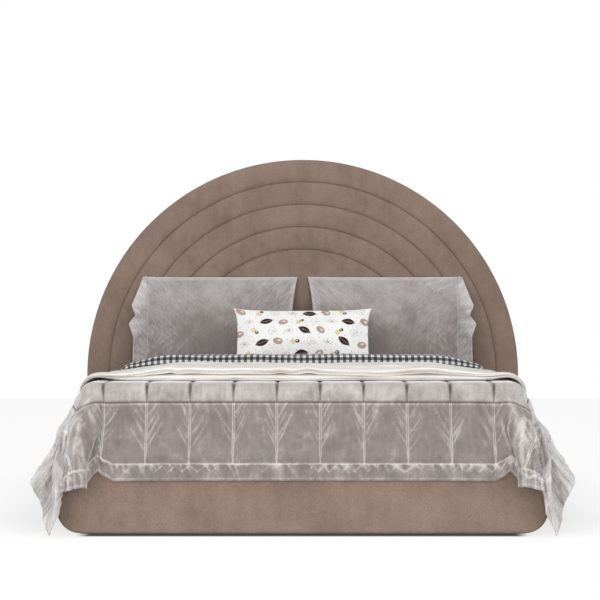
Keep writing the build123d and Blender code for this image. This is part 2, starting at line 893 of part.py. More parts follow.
def cushion(width, height, thickness, pull):
    levels = zip(crown_level_shares, crown_size_shares)
    faces = [cushion_outline(width, height, pull, size, level * thickness / 2) for level, size in levels]
    half = loft(faces)
    return half + mirror(half, about=Plane.XY)


def leaning(x, y, z, lean):
    turn = math.radians(lean)
    return Plane(origin=(x, y, z), x_dir=(1, 0, 0), z_dir=(0, -math.cos(turn), math.sin(turn)))


pillow_width = 720.0
pillow_height = 500.0
pillow_thickness = 170.0
pillow_pull = 26.0
pillow_lean = 30.0
pillow_gap = 17.0
case_end = 80.0
case_sheet = 12.0
case_corner_shares = ((-1.0, 0.94), (-0.55, 1.0), (-0.2, 0.8), (0.15, 0.98), (0.55, 0.78), (0.97, 0.9))


# The loose end of the pillowcase, past the filling, with a wavy outer edge
def case_end_sheet():
    inner = pillow_width / 2 - case_end
    start = pillow_width / 2
    half = pillow_height / 2 - pillow_pull / 2
    rim = [(start + case_end * out, half * up) for up, out in case_corner_shares]
    points = [(inner, -half), *rim, (inner, half), (inner, -half)]
    return Pos(0, 0, -case_sheet / 2) * extrude(make_face(Polyline(*points)), case_sheet)


# Moves a shape straight down or up until its lowest point is at a height
def rested(shape, height):
    return Pos(0, 0, height - shape.bounding_box().min.Z) * shape


def make_pillows():
    body = cushion(pillow_width, pillow_height, pillow_thickness, pillow_pull) + case_end_sheet()
    x = pillow_gap + pillow_width / 2
    right = leaning(x, 0, 0, pillow_lean) * one_solid(body)
    back = headboard_front - soft_touch - right.bounding_box().max.Y
    right = rested(Pos(0, back, 0) * right, sheet_top + soft_touch)
    save("pillow_right", right)
    save("pillow_left", mirrored(right))


lumbar_width = 640.0
lumbar_height = 330.0
lumbar_thickness = 130.0
lumbar_pull = 14.0
lumbar_lean = 25.0
lumbar_setback = 347.0


def make_lumbar_cushion():
    body = cushion(lumbar_width, lumbar_height, lumbar_thickness, lumbar_pull)
    leaned = leaning(0, headboard_front - lumbar_setback, 0, lumbar_lean) * one_solid(body)
    save("lumbar_cushion", rested(leaned, sheet_top + soft_touch))


os.makedirs("parts", exist_ok=True)
make_foot_panel()
make_side_rails()
make_posts()
make_head_rail()
make_cleats()
make_beam()
make_legs()
make_slats()
make_mattress()
make_headboard_pads()
make_headboard_frame()
make_mounting()
make_glides()
make_quilt()
make_gingham_sheet()
make_blanket()
make_pillows()
make_lumbar_cushion()
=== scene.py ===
import json
import math

import bmesh
import bpy
import numpy as np
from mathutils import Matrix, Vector


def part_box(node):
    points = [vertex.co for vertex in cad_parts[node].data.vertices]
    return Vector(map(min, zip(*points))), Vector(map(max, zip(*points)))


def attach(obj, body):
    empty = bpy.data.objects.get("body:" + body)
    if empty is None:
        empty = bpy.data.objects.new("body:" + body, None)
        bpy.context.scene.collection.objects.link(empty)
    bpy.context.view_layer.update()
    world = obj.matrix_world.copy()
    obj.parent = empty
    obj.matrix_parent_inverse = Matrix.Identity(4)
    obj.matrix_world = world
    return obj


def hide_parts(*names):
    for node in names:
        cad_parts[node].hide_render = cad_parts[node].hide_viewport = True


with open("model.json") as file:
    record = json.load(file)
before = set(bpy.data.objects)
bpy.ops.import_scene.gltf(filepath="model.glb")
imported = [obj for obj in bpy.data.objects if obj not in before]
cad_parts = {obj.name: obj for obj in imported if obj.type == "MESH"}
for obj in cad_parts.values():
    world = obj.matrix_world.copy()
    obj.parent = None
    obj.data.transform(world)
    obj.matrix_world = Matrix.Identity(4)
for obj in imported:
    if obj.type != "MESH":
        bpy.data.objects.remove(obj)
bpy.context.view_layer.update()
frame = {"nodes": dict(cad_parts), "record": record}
nodes = frame["nodes"]
scene = bpy.context.scene
print("frame loaded", len(nodes), "nodes")

# Camera and light values
view = {
    "lens": 88.2,
    "distance": 5.25,  # from the base's front face
    "height": 0.776,
    "shiftX": -0.0045,
    "shiftY": 0.0323,
}
light = {
    "worldLevel": 0.5,
    "aim": (0, -0.3, 0.6),
    "lamps": (  # name, place, size, power
        ("topLamp", (0, -1.9, 4.4), 3.4, 62),
        ("leftLamp", (-3.1, -5.8, 1.5), 3.0, 98),
        ("rightLamp", (3.1, -6.0, 1.6), 3.0, 84),
        ("frontLamp", (0.2, -6.6, 0.6), 3.6, 90),
    ),
    "floorColour": 0.85,
    "floorSeen": 0.16,  # what the camera sees of it besides its glow
    "floorGlow": 0.86,
    "floorPaintedShadow": 0.94,  # how much of the glow the darkest painted shadow takes away
    "underAcross": [(0.385, 1.0), (0.408, 0.0)],  # painted shadow under the bed, at half of x
    "underAlong": [(0.2298, 0.0), (0.2325, 1.0), (0.775, 1.0), (0.78, 0.0)],  # at y / 4 + 0.5
    # Painted shadow beside the bed, wider and softer
    "besideAcross": [(0.38, 0.36), (0.48, 0.22), (0.62, 0.07), (0.75, 0.0)],
    "besideAlong": [(0.22, 0.0), (0.34, 1.0), (0.775, 1.0), (1.0, 0.0)],
    "floorSize": 60,
    "floorEnd": 8.2,  # behind the bed
}


def makeCamera():
    low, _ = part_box("foot_cover")
    data = bpy.data.cameras.new("camera")
    data.lens = view["lens"]
    data.sensor_width = 36
    data.shift_x = view["shiftX"]
    data.shift_y = view["shiftY"]
    camera = bpy.data.objects.new("camera", data)
    camera.location = (0, low.y - view["distance"], view["height"])
    camera.rotation_euler = (math.radians(90), 0, 0)
    scene.collection.objects.link(camera)
    scene.camera = camera


def areaLamp(name, place, size, power):
    data = bpy.data.lights.new(name, "AREA")
    data.shape = "DISK"
    data.size = size
    data.energy = power
    lamp = bpy.data.objects.new(name, data)
    lamp.location = place
    lamp.rotation_euler = (Vector(light["aim"]) - Vector(place)).to_track_quat("-Z", "Y").to_euler()
    scene.collection.objects.link(lamp)


def makeWorld():
    world = bpy.data.worlds.new("studio")
    scene.world = world
    world.use_nodes = True
    tree = world.node_tree
    tree.nodes.clear()
    out = tree.nodes.new("ShaderNodeOutputWorld")
    mix = tree.nodes.new("ShaderNodeMixShader")
    path = tree.nodes.new("ShaderNodeLightPath")
    seen = tree.nodes.new("ShaderNodeMath")
    seen.operation = "MAXIMUM"
    tree.links.new(path.outputs["Is Camera Ray"], seen.inputs[0])
    tree.links.new(path.outputs["Is Glossy Ray"], seen.inputs[1])
    tree.links.new(seen.outputs[0], mix.inputs[0])
    for slot, strength in ((1, light["worldLevel"]), (2, 1)):
        glow = tree.nodes.new("ShaderNodeBackground")
        glow.inputs["Color"].default_value = (1, 1, 1, 1)
        glow.inputs["Strength"].default_value = strength
        tree.links.new(glow.outputs[0], mix.inputs[slot])
    tree.links.new(mix.outputs[0], out.inputs[0])


def pieceFrom(name, bm):
    mesh = bpy.data.meshes.new(name)
    bm.to_mesh(mesh)
    bm.free()
    obj = bpy.data.objects.new(name, mesh)
    scene.collection.objects.link(obj)
    return obj


# Short names for a material's nodes
class nodeMaker:
    def __init__(self, name):
        self.material = bpy.data.materials.new(name)
        self.material.use_nodes = True
        self.tree = self.material.node_tree
        self.shader = self.tree.nodes["Principled BSDF"]

    def add(self, kind, sockets=None, **values):
        node = self.tree.nodes.new("ShaderNode" + kind)
        for key, value in values.items():
            setattr(node, key, value)
        for key, value in (sockets or {}).items():
            self.put(value, node.inputs[key])
        return node

    def put(self, value, socket):
        if isinstance(value, (int, float)):
            socket.default_value = value
        elif isinstance(value, tuple):
            socket.default_value = (*value, 1) if len(socket.default_value) == 4 else value
        else:
            self.tree.links.new(value, socket)

    def object(self, scale=(1, 1, 1)):
        return self.mapped(self.add("TexCoord").outputs["Object"], scale)

    def cloth(self, scale=(1, 1, 1)):
        return self.mapped(self.add("UVMap", uv_map="cloth").outputs["UV"], scale)

    def mapped(self, source, scale=(1, 1, 1), place=(0, 0, 0)):
        return self.add("Mapping", {"Vector": source, "Scale": scale, "Location": place}).outputs["Vector"]

    def attribute(self, name):
        return self.add("Attribute", attribute_name=name).outputs["Fac"]

    def noise(self, source, scale, detail=4, rough=0.55):
        sockets = {"Vector": source, "Scale": scale, "Detail": detail, "Roughness": rough}
        return self.add("TexNoise", sockets).outputs["Fac"]

    def math(self, operation, a, b=0.0, c=None):
        sockets = {0: a, 1: b} if c is None else {0: a, 1: b, 2: c}
        return self.add("Math", sockets, operation=operation).outputs[0]

    def plus(self, a, b):
        return self.math("ADD", a, b)

    def minus(self, a, b):
        return self.math("SUBTRACT", a, b)

    def times(self, a, b):
        return self.math("MULTIPLY", a, b)

    def over(self, a, b):
        return self.math("DIVIDE", a, b)

    def absolute(self, a):
        return self.math("ABSOLUTE", a)

    def sine(self, a):
        return self.math("SINE", a)

    def split(self, source):
        return self.add("SeparateXYZ", {0: source}).outputs[:2]

    def joined(self, x, y):
        return self.add("CombineXYZ", {0: x, 1: y}).outputs[0]

    def ramp(self, source, stops, kind="LINEAR"):
        node = self.add("ValToRGB")
        bar = node.color_ramp
        bar.interpolation = kind
        while len(bar.elements) < len(stops):
            bar.elements.new(0.5)
        for element, (place, colour) in zip(bar.elements, stops):
            element.position = place
            element.color = (*colour, 1) if isinstance(colour, tuple) else (colour, colour, colour, 1)
        self.put(source, node.inputs["Fac"])
        return node.outputs["Color"]

    def mix(self, factor, a, b, blend="MIX"):
        return self.add("Mix", {0: factor, 6: a, 7: b}, data_type="RGBA", blend_type=blend).outputs[2]

    # Lightens and darkens a tone by a field
    def overlay(self, factor, tone, field, stops):
        return self.mix(factor, tone, self.ramp(field, stops), "OVERLAY")

    def bump(self, height, strength, distance, before=None):
        sockets = {"Strength": strength, "Distance": distance, "Height": height}
        if before is not None:
            sockets["Normal"] = before
        return self.add("Bump", sockets).outputs["Normal"]

    def finish(self, colour, normal=None, **fixed):
        self.put(colour, self.shader.inputs["Base Color"])
        if normal is not None:
            self.put(normal, self.shader.inputs["Normal"])
        for key, value in fixed.items():
            self.put(value, self.shader.inputs[key.replace("_", " ")])
        return self.material


# A pale floor that glows to the camera alone, with a painted shadow that dims its glow under and beside the
# bed
def makeFloor():
    bm = bmesh.new()
    bmesh.ops.create_grid(bm, x_segments=2, y_segments=2, size=light["floorSize"])
    bmesh.ops.translate(bm, vec=(0, light["floorEnd"] - light["floorSize"], 0), verts=bm.verts)
    floor = pieceFrom("studioFloor", bm)
    n = nodeMaker("paleFloor")
    seen = n.add("LightPath").outputs["Is Camera Ray"]
    x, y = n.split(n.object())
    x = n.times(n.absolute(x), 0.5)
    y = n.math("MULTIPLY_ADD", y, 0.25, 0.5)
    # Painted shadow under and beside the bed, taken out of the glow
    paintedFloorShadows = []
    for place in ("under", "beside"):
        paintedFloorShadows.append(n.times(n.ramp(x, light[f"{place}Across"]), n.ramp(y, light[f"{place}Along"])))
    paintedFloorShadow = n.math("MULTIPLY_ADD", n.math("MAXIMUM", *paintedFloorShadows), -light["floorPaintedShadow"], 1.0)
    glow = n.times(seen, n.times(paintedFloorShadow, light["floorGlow"]))
    tone = n.mix(seen, (light["floorColour"],) * 3, (light["floorSeen"],) * 3)
    n.finish(
        tone,
        Roughness=1.0,
        Specular_IOR_Level=0.0,
        Emission_Color=(1, 1, 1),
        Emission_Strength=glow,
    )
    floor.data.materials.append(n.material)


makeCamera()
makeWorld()
makeFloor()
for lamp in light["lamps"]:
    areaLamp(*lamp)
scene.view_settings.view_transform = "Standard"
print("camera, light and floor made")

velour = {
    "light": (0.262, 0.187, 0.147),
    "dark": (0.2, 0.142, 0.112),
    "mottle": 5.0,
    "grain": 230,
    "sheen": 0.25,
}


def velourMaterial():
    n = nodeMaker("taupeVelour")
    cloud = n.noise(n.object(), velour["mottle"], 7, 0.66)
    brushed = n.noise(n.object((28, 28, 7)), 1.0, 5, 0.6)
    both = n.plus(n.times(cloud, 0.7), n.times(brushed, 0.3))
    tone = n.ramp(both, [(0.38, velour["dark"]), (0.6, velour["light"])])
    speck = n.noise(n.object(), velour["grain"], 3, 0.7)
    tone = n.overlay(0.4, tone, speck, [(0.3, 0.28), (0.7, 0.72)])
    normal = n.bump(speck, 0.3, 0.002, n.bump(cloud, 0.2, 0.004))
    return n.finish(
        tone,
        normal,
        Roughness=0.92,
        Specular_IOR_Level=0.2,
        Sheen_Weight=velour["sheen"],
        Sheen_Roughness=0.45,
        Sheen_Tint=(0.95, 0.82, 0.74),
    )


# The quilt's size and seams, used by its material and its shape
quiltCut = {
    "sideDrop": 0.392,
    "footDrop": 0.34,
    "headEnd": 0.56,
    "column": 0.157,
    "row": 0.227,
    "border": 0.06,
    "offCentre": -0.015,
}


def quiltSpan():
    low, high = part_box("fitted_sheet")
    return high.x + quiltCut["sideDrop"], low.y - quiltCut["footDrop"], quiltCut["headEnd"]


def seamPlaces():
    half, front, back = quiltSpan()
    edge = half - quiltCut["border"]
    across = np.arange(-6.5, 7.5) * quiltCut["column"] + quiltCut["offCentre"]
    across = np.concatenate([[-edge], across[np.abs(across) < edge - 0.02], [edge]])
    along = np.arange(front + quiltCut["border"], back - 0.05, quiltCut["row"])
    return across, along


plush = {
    "tones": (  # by the pile's lie and by its painted highlights and shade
        (-0.1, (0.03, 0.025, 0.023)),
        (0.2, (0.15, 0.126, 0.117)),
        (0.5, (0.24, 0.208, 0.194)),
        (0.95, (0.53, 0.497, 0.482)),
        (1.5, (0.86, 0.84, 0.83)),
    ),
    "sheen": 0.85,
    "grain": 330,
}


# A triangle wave's peak of a given width around a distance
def peak(n, distance, at, wide):
    away = n.absolute(n.minus(distance, at))
    return n.math("MAXIMUM", n.minus(1.0, n.over(away, wide)), 0.0)


# Painted highlights as pale double lines, with a painted shade as their dark core, along the upright seams of
# the hanging row
def seamHighlightsAndShade(n):
    u, v = n.split(n.cloth())
    across, along = seamPlaces()
    pitch = quiltCut["column"]
    turn = n.over(n.minus(u, quiltCut["offCentre"]), pitch)
    away = n.times(n.absolute(n.minus(n.math("FRACT", turn), 0.5)), pitch)
    up = n.over(n.minus(v, float(along[0])), quiltCut["row"])
    spread = n.math("MINIMUM", n.math("MULTIPLY_ADD", up, 0.012, 0.0004), 0.0029)
    coreShade = peak(n, away, 0.0, 0.0014)
    lines = n.minus(peak(n, away, spread, 0.003), n.times(coreShade, 0.35))
    inRow = n.times(n.math("GREATER_THAN", up, 0.0), n.math("LESS_THAN", up, 1.0))
    within = n.math("LESS_THAN", n.absolute(u), float(across[-1]) - 0.01)
    return n.times(n.times(lines, 0.46), n.times(inRow, within))


# Painted light and shade in upright pleat strokes where the quilt hangs at the sides, which fan out round the
# mattress's corners
def sidePleatShading(n):
    low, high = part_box("fitted_sheet")
    u, v = n.split(n.cloth())
    wide = n.absolute(u)
    past = n.math("MAXIMUM", n.minus(low.y, v), 0.0)
    turn = n.math("ARCTAN2", past, n.minus(wide, high.x))
    along = n.math("MAXIMUM", n.minus(v, low.y), 0.0)
    place = n.joined(n.times(u, 4.0), n.times(n.math("MULTIPLY_ADD", turn, -0.3, along), 36.0))
    wave = n.minus(n.noise(place, 1.0, 5, 0.75), 0.5)
    hangs = n.ramp(wide, [(0.83, 0.0), (0.9, 1.0)])
    strength = n.math("MAXIMUM", n.math("MULTIPLY_ADD", along, -3.0, 2.3), 1.2)
    return n.times(n.times(wave, strength), hangs)


# Fine painted light and dark strokes that run up and out to a pillow's two top corners, over a painted
# lightening towards the top
def fannedStrokeHighlights(n):
    u, v = n.split(n.cloth())
    wide = n.absolute(u)
    place = n.joined(n.times(n.plus(wide, v), 13.0), n.times(n.minus(wide, n.times(v, 0.8)), 95.0))
    stroke = n.noise(place, 1.0, 4, 0.7)
    strength = n.math("MULTIPLY_ADD", wide, 1.0, 0.3)
    raised = n.times(n.minus(stroke, 0.5), strength)
    return n.math("MULTIPLY_ADD", v, 0.8, raised)


# Crushed velvet: each point's value holds the pile's lie together with painted highlights and shade, 0.5
# where it is undisturbed
def plushMaterial(name, tint=(1, 1, 1), mottle=1.25, paintedQuiltShade=False, paintedFanLight=False):
    n = nodeMaker(name)
    napAndPaintedLight = n.attribute("napAndPaintedLight")
    patch = n.noise(n.cloth(), 16, 6, 0.66)
    streak = n.noise(n.cloth((70, 16, 1)), 1.0, 5, 0.65)
    fleck = n.noise(n.cloth(), 170, 3, 0.7)
    cloud = n.plus(n.times(patch, 0.5), n.times(streak, 0.3))
    cloud = n.math("MULTIPLY_ADD", fleck, 0.2, cloud)
    lieAndPaintedLight = n.plus(napAndPaintedLight, n.times(n.minus(cloud, 0.5), mottle))
    if paintedQuiltShade:
        lieAndPaintedLight = n.plus(n.plus(lieAndPaintedLight, seamHighlightsAndShade(n)), sidePleatShading(n))
    if paintedFanLight:
        lieAndPaintedLight = n.plus(lieAndPaintedLight, fannedStrokeHighlights(n))
    first, last = plush["tones"][0][0], plush["tones"][-1][0]
    share = n.over(n.minus(lieAndPaintedLight, first), last - first)
    tone = n.ramp(share, [((at - first) / (last - first), colour) for at, colour in plush["tones"]])
    speck = n.noise(n.cloth(), plush["grain"], 3, 0.8)
    tone = n.overlay(0.35, tone, speck, [(0.3, 0.28), (0.7, 0.72)])
    if tint != (1, 1, 1):
        tone = n.mix(1.0, tone, tint, "MULTIPLY")
    normal = n.bump(speck, 0.35, 0.0012, n.bump(cloud, 0.35, 0.006))
    return n.finish(
        tone,
        normal,
        Roughness=0.85,
        Specular_IOR_Level=0.25,
        Sheen_Weight=plush["sheen"],
        Sheen_Roughness=0.4,
        Sheen_Tint=(0.97, 0.95, 0.96),
    )


gingham = {
    "check": 0.014,
    "black": (0.018, 0.018, 0.02),
    "grey": (0.14, 0.14, 0.145),
    "white": (0.7, 0.695, 0.69),
}


def ginghamMaterial():
    n = nodeMaker("gingham")
    x, y = n.split(n.cloth((1 / (2 * gingham["check"]),) * 2 + (1,)))
    stripes = [n.math("GREATER_THAN", n.math("FRACT", v), 0.5) for v in (x, y)]
    count = n.times(n.plus(*stripes), 0.5)
    checks = [(0.0, gingham["white"]), (0.25, gingham["grey"]), (0.75, gingham["black"])]
    tone = n.ramp(count, checks, "CONSTANT")
    weave = n.times(*[n.sine(v) for v in n.split(n.cloth((4200, 4200, 1)))])
    tone = n.overlay(0.12, tone, weave, [(0.2, 0.25), (0.8, 0.75)])
    return n.finish(tone, n.bump(weave, 0.2, 0.0006), Roughness=0.9, Sheen_Weight=0.15)


knit = {
    "rib": 0.0085,
    "stitch": 0.006,
    "wander": 0.006,
    "light": (0.85, 0.82, 0.785),
    "dark": (0.45, 0.415, 0.38),
    "warm": (0.74, 0.68, 0.62),
}


def knitMaterial():
    n = nodeMaker("creamKnit")
    u, v = n.split(n.cloth())
    wander = n.times(n.noise(n.cloth((6, 30, 1)), 1.0, 3), knit["wander"])
    turn = n.times(n.plus(v, wander), 2 * math.pi / knit["rib"])
    rib = n.math("MULTIPLY_ADD", n.sine(turn), 0.5, 0.5)
    stitch = n.math("MULTIPLY_ADD", n.sine(n.times(u, 2 * math.pi / knit["stitch"])), 0.5, 0.5)
    fluff = n.noise(n.cloth(), 240, 4, 0.7)
    height = n.plus(n.math("MULTIPLY_ADD", stitch, 0.18, rib), n.times(fluff, 0.5))
    # Painted shade: darker in the hollows between the ribs, lighter on their crests
    tone = n.ramp(height, [(0.15, knit["dark"]), (0.75, knit["light"])])
    warm = n.ramp(n.noise(n.cloth((4, 48, 1)), 1.0, 4, 0.6), [(0.4, 0.0), (0.66, 1.0)])
    tone = n.mix(n.times(warm, 0.5), tone, knit["warm"], "MULTIPLY")
    return n.finish(tone, n.bump(height, 0.6, 0.0025), Roughness=0.95, Sheen_Weight=0.2)


sheetCotton = {"tone": (0.6, 0.585, 0.565)}


def cottonMaterial():
    n = nodeMaker("sheetCotton")
    crease = n.noise(n.object((5, 14, 14)), 1.0, 5, 0.6)
    weave = n.noise(n.object(), 900, 2)
    # Painted shade and light in the creases: darker where they sink, lighter where they rise
    tone = n.overlay(0.3, sheetCotton["tone"], crease, [(0.3, 0.42), (0.7, 0.58)])
    normal = n.bump(weave, 0.15, 0.0006, n.bump(crease, 0.4, 0.006))
    return n.finish(tone, normal, Roughness=0.9, Sheen_Weight=0.1)


# Printed cushion: five motifs in turn over a lattice of cells, with small dots between them
motifs = {
    "kinds": 5,
    "cell": (0.084, 0.06),
    "dotCell": (0.034, 0.026),
    "scale": 1.25,
    "turn": 1.5,
    "astray": (0.009, 0.007, 0),  # how far a motif may lie from its cell's middle
    "ground": (0.86, 0.855, 0.845),
    "brown": (0.035, 0.022, 0.018),
    "rose": (0.46, 0.31, 0.26),
    "yellow": (0.75, 0.62, 0.33),
    "grey": (0.42, 0.4, 0.38),
    "pale": (0.72, 0.71, 0.69),
}


def lattice(n, size, shift, shear):
    x, y = n.split(n.mapped(n.cloth(), (1 / size[0], 1 / size[1], 1), (shift[0], shift[1], 0)))
    row = n.math("FLOOR", y)
    x = n.plus(x, n.times(row, shear))
    column = n.math("FLOOR", x)
    dice = n.add("TexWhiteNoise", {"Vector": n.joined(column, row)}, noise_dimensions="2D")
    local = [n.times(n.minus(n.math("FRACT", v), 0.5), width) for v, width in zip((x, y), size)]
    angle = n.times(n.minus(dice.outputs["Value"], 0.5), motifs["turn"])
    turned = n.add("VectorRotate", {"Vector": n.joined(*local), "Angle": angle}, rotation_type="Z_AXIS")
    sockets = {0: dice.outputs["Color"], 1: motifs["astray"], 2: turned.outputs[0]}
    place = n.add("VectorMath", sockets, operation="MULTIPLY_ADD")
    px, py = [n.over(v, motifs["scale"]) for v in n.split(place.outputs[0])]
    kind = n.math("FLOORED_MODULO", n.plus(column, n.times(row, 2)), motifs["kinds"])
    return px, py, kind


def fromMiddle(n, x, y, at, size):
    return n.over(n.minus(x, at[0]), size[0]), n.over(n.minus(y, at[1]), size[1])


def ovalMask(n, x, y, at, size):
    dx, dy = fromMiddle(n, x, y, at, size)
    return n.plus(n.times(dx, dx), n.times(dy, dy))


# A leaf is an oval's meeting of two arcs: its half height falls off with the square of x
def leafMask(n, x, y, at, size):
    dx, dy = fromMiddle(n, x, y, at, size)
    return n.plus(n.times(dx, dx), n.absolute(dy))


def below(n, value, limit=1.0):
    return n.math("LESS_THAN", value, limit)


def printMaterial():
    n = nodeMaker("leafPrint")
    x, y, kind = lattice(n, motifs["cell"], (0.3, 0.1), 0.37)

    def oval(at, size, limit=1.0):
        return below(n, ovalMask(n, x, y, at, size), limit)

    leaf = leafMask(n, x, y, (0, 0), (0.0285, 0.0145))
    vein = below(n, n.absolute(n.minus(y, 0.0004)), 0.0006)
    stem = n.times(below(n, n.absolute(y), 0.001), oval((0.026, 0), (0.007, 1)))
    twig = leafMask(n, x, y, (0, 0), (0.02, 0.009))
    marks = (  # motif, its part, colour
        (0, n.math("MAXIMUM", below(n, leaf), stem), "brown"),
        (0, n.times(vein, below(n, leaf, 0.7)), "rose"),
        (1, oval((0, 0), (0.018, 0.0125), 1.25), "grey"),
        (1, oval((0, 0), (0.018, 0.0125)), "rose"),
        (1, oval((0.004, 0.003), (0.007, 0.004)), "pale"),
        (2, below(n, leafMask(n, x, y, (-0.007, 0), (0.013, 0.0105))), "yellow"),
        (2, oval((0.011, 0.001), (0.0085, 0.007)), "brown"),
        (2, oval((0.0095, 0.0025), (0.0035, 0.0028)), "pale"),
        (3, oval((0, 0), (0.017, 0.0135)), "grey"),
        (3, oval((0, 0), (0.017, 0.0135), 0.84), "ground"),
        (3, oval((0.002, -0.002), (0.0085, 0.0065)), "pale"),
        (4, n.minus(below(n, twig), below(n, twig, 0.8)), "grey"),
        (4, oval((0, 0), (0.008, 0.003)), "rose"),
    )
    tone = motifs["ground"]
    for motif, mask, colour in marks:
        chosen = n.times(mask, n.math("COMPARE", kind, motif, 0.1))
        tone = n.mix(chosen, tone, motifs[colour])
    dotX, dotY, dotKind = lattice(n, motifs["dotCell"], (0.1, 0.45), 0.29)
    dot = below(n, ovalMask(n, dotX, dotY, (0, 0), (0.0022, 0.0018)))
    tone = n.mix(n.times(dot, below(n, dotKind, 2.5)), tone, motifs["grey"])
    weave = n.noise(n.cloth(), 700, 2)
    return n.finish(tone, n.bump(weave, 0.12, 0.0008), Roughness=0.9, Specular_IOR_Level=0.1)


def woodMaterial(name, pale, dark, along, rough=0.6):
    n = nodeMaker(name)
    scale = [26, 26, 26]
    scale[along] = 1.6
    rings = n.noise(n.object(tuple(scale)), 1.0, 6, 0.65)
    pores = n.noise(n.object(tuple(v * 9 for v in scale)), 1.0, 3, 0.6)
    tone = n.ramp(rings, [(0.32, dark), (0.66, pale)])
    tone = n.overlay(0.3, tone, pores, [(0.35, 0.36), (0.6, 0.6)])
    return n.finish(tone, n.bump(pores, 0.25, 0.0006), Roughness=rough)


def plainMaterial(name, pale, dark, grain, rough, metal=0.0, coat=0.0):
    n = nodeMaker(name)
    speck = n.noise(n.object(), grain, 4, 0.65)
    worn = n.noise(n.object(), grain / 22, 4, 0.6)
    tone = n.mix(worn, dark, pale)
    normal = n.bump(speck, 0.25, 0.0008)
    return n.finish(tone, normal, Roughness=rough, Metallic=metal, Coat_Weight=coat)


def foamMaterial():
    n = nodeMaker("foam")
    cells = n.add("TexVoronoi", {"Scale": 420, "Vector": n.object()})
    tone = n.ramp(cells.outputs["Distance"], [(0.0, (0.7, 0.62, 0.4)), (0.6, (0.85, 0.8, 0.6))])
    return n.finish(tone, n.bump(cells.outputs["Distance"], 0.5, 0.002), Roughness=0.95)


def tickingMaterial():
    n = nodeMaker("ticking")
    weave = n.times(*[n.sine(n.times(v, 6.28)) for v in n.split(n.object((14, 14, 1)))])
    tone = n.ramp(weave, [(0.3, (0.66, 0.64, 0.6)), (0.8, (0.76, 0.75, 0.72))])
    return n.finish(tone, n.bump(weave, 0.3, 0.004), Roughness=0.9)


blackSteel = ((0.02, 0.02, 0.021), (0.013, 0.013, 0.014), 500, 0.45)
materials = {
    "taupe_velour": velourMaterial(),
    "quilt_velvet": plushMaterial("quiltVelvet", paintedQuiltShade=True),
    "pillow_velvet": plushMaterial("pillowVelvet", (0.97, 0.98, 1.0), 0.75, paintedFanLight=True),
    "gingham": ginghamMaterial(),
    "cream_knit": knitMaterial(),
    "sheet_cotton": cottonMaterial(),
    "lumbar_print": printMaterial(),
    "pine": woodMaterial("pine", (0.58, 0.37, 0.17), (0.4, 0.22, 0.09), 0),
    "slat_birch": woodMaterial("birchSlat", (0.7, 0.52, 0.3), (0.55, 0.37, 0.19), 0, 0.45),
    "plywood": woodMaterial("plywood", (0.55, 0.38, 0.2), (0.42, 0.26, 0.12), 0),
    "back_lining": plainMaterial("backLining", (0.07, 0.062, 0.056), (0.05, 0.044, 0.04), 700, 0.95),
    "foam": foamMaterial(),
    "bracket_steel": plainMaterial("bracketSteel", *blackSteel, coat=0.2),
    "leg_steel": plainMaterial("legSteel", *blackSteel, coat=0.2),
    "zinc_steel": plainMaterial("zincSteel", (0.6, 0.6, 0.58), (0.45, 0.45, 0.46), 300, 0.35, metal=1.0),
    "holder_plastic": plainMaterial("holderPlastic", (0.02, 0.02, 0.02), (0.014, 0.014, 0.015), 400, 0.5),
    "glide_plastic": plainMaterial("glidePlastic", (0.016, 0.016, 0.016), (0.012, 0.012, 0.012), 400, 0.55),
    "ticking": tickingMaterial(),
    "spring_core": tickingMaterial(),
}
print("materials made")


def paintNodes():
    for part in frame["record"]["subparts"]:
        piece = nodes[part["node"]]
        material = materials[part["material_slot"]]
        if not piece.material_slots:
            piece.data.materials.append(material)
        for slot in piece.material_slots:
            slot.material = material


paintNodes()


def finishPiece(obj, slotName, replaced=()):
    mesh = obj.data
    mesh.materials.clear()
    mesh.materials.append(materials[slotName])
    mesh.polygons.foreach_set("use_smooth", [True] * len(mesh.polygons))
    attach(obj, "root")
    if replaced:
        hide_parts(*replaced)
    return obj


def readPoints(mesh):
    flat = np.empty(len(mesh.vertices) * 3)
    mesh.vertices.foreach_get("co", flat)
    return flat.reshape(-1, 3)


def writePoints(mesh, points):
    mesh.vertices.foreach_set("co", np.asarray(points, dtype=float).ravel())
    mesh.update()


def readNormals(mesh):
    flat = np.empty(len(mesh.vertices) * 3)
    mesh.vertices.foreach_get("normal", flat)
    return flat.reshape(-1, 3)


# Smooth random field over two coordinates, the same on every run
def softNoise(x, y, seed):
    table = np.random.default_rng(seed).random((64, 64)) * 2 - 1
    x0 = np.floor(x).astype(int)
    y0 = np.floor(y).astype(int)
    tx = x - x0
    ty = y - y0
    tx = tx * tx * (3 - 2 * tx)
    ty = ty * ty * (3 - 2 * ty)
    a = table[x0 % 64, y0 % 64] * (1 - tx) + table[(x0 + 1) % 64, y0 % 64] * tx
    b = table[x0 % 64, (y0 + 1) % 64] * (1 - tx) + table[(x0 + 1) % 64, (y0 + 1) % 64] * tx
    return a * (1 - ty) + b * ty


def layeredNoise(x, y, seed, layers=3):
    total = 0
    for i in range(layers):
        total = total + softNoise(x * 2**i + 7.3 * i, y * 2**i + 3.1 * i, seed + i) / 2**i
    return total


def ramped(value, start, end):
    t = np.clip((value - start) / (end - start), 0, 1)
    return t * t * (3 - 2 * t)


# A smooth ridge of a given width
def bell(away, wide):
    return np.exp(-((away / wide) ** 2))


# Points of an arc between two angles in degrees
def arc(middle, radius, start, end, count):
    turns = [math.radians(angle) for angle in np.linspace(start, end, count)]
    return [(middle[0] + radius * math.cos(turn), middle[1] + radius * math.sin(turn)) for turn in turns]


def only(kind, geom):
    return [g for g in geom if isinstance(g, kind)]


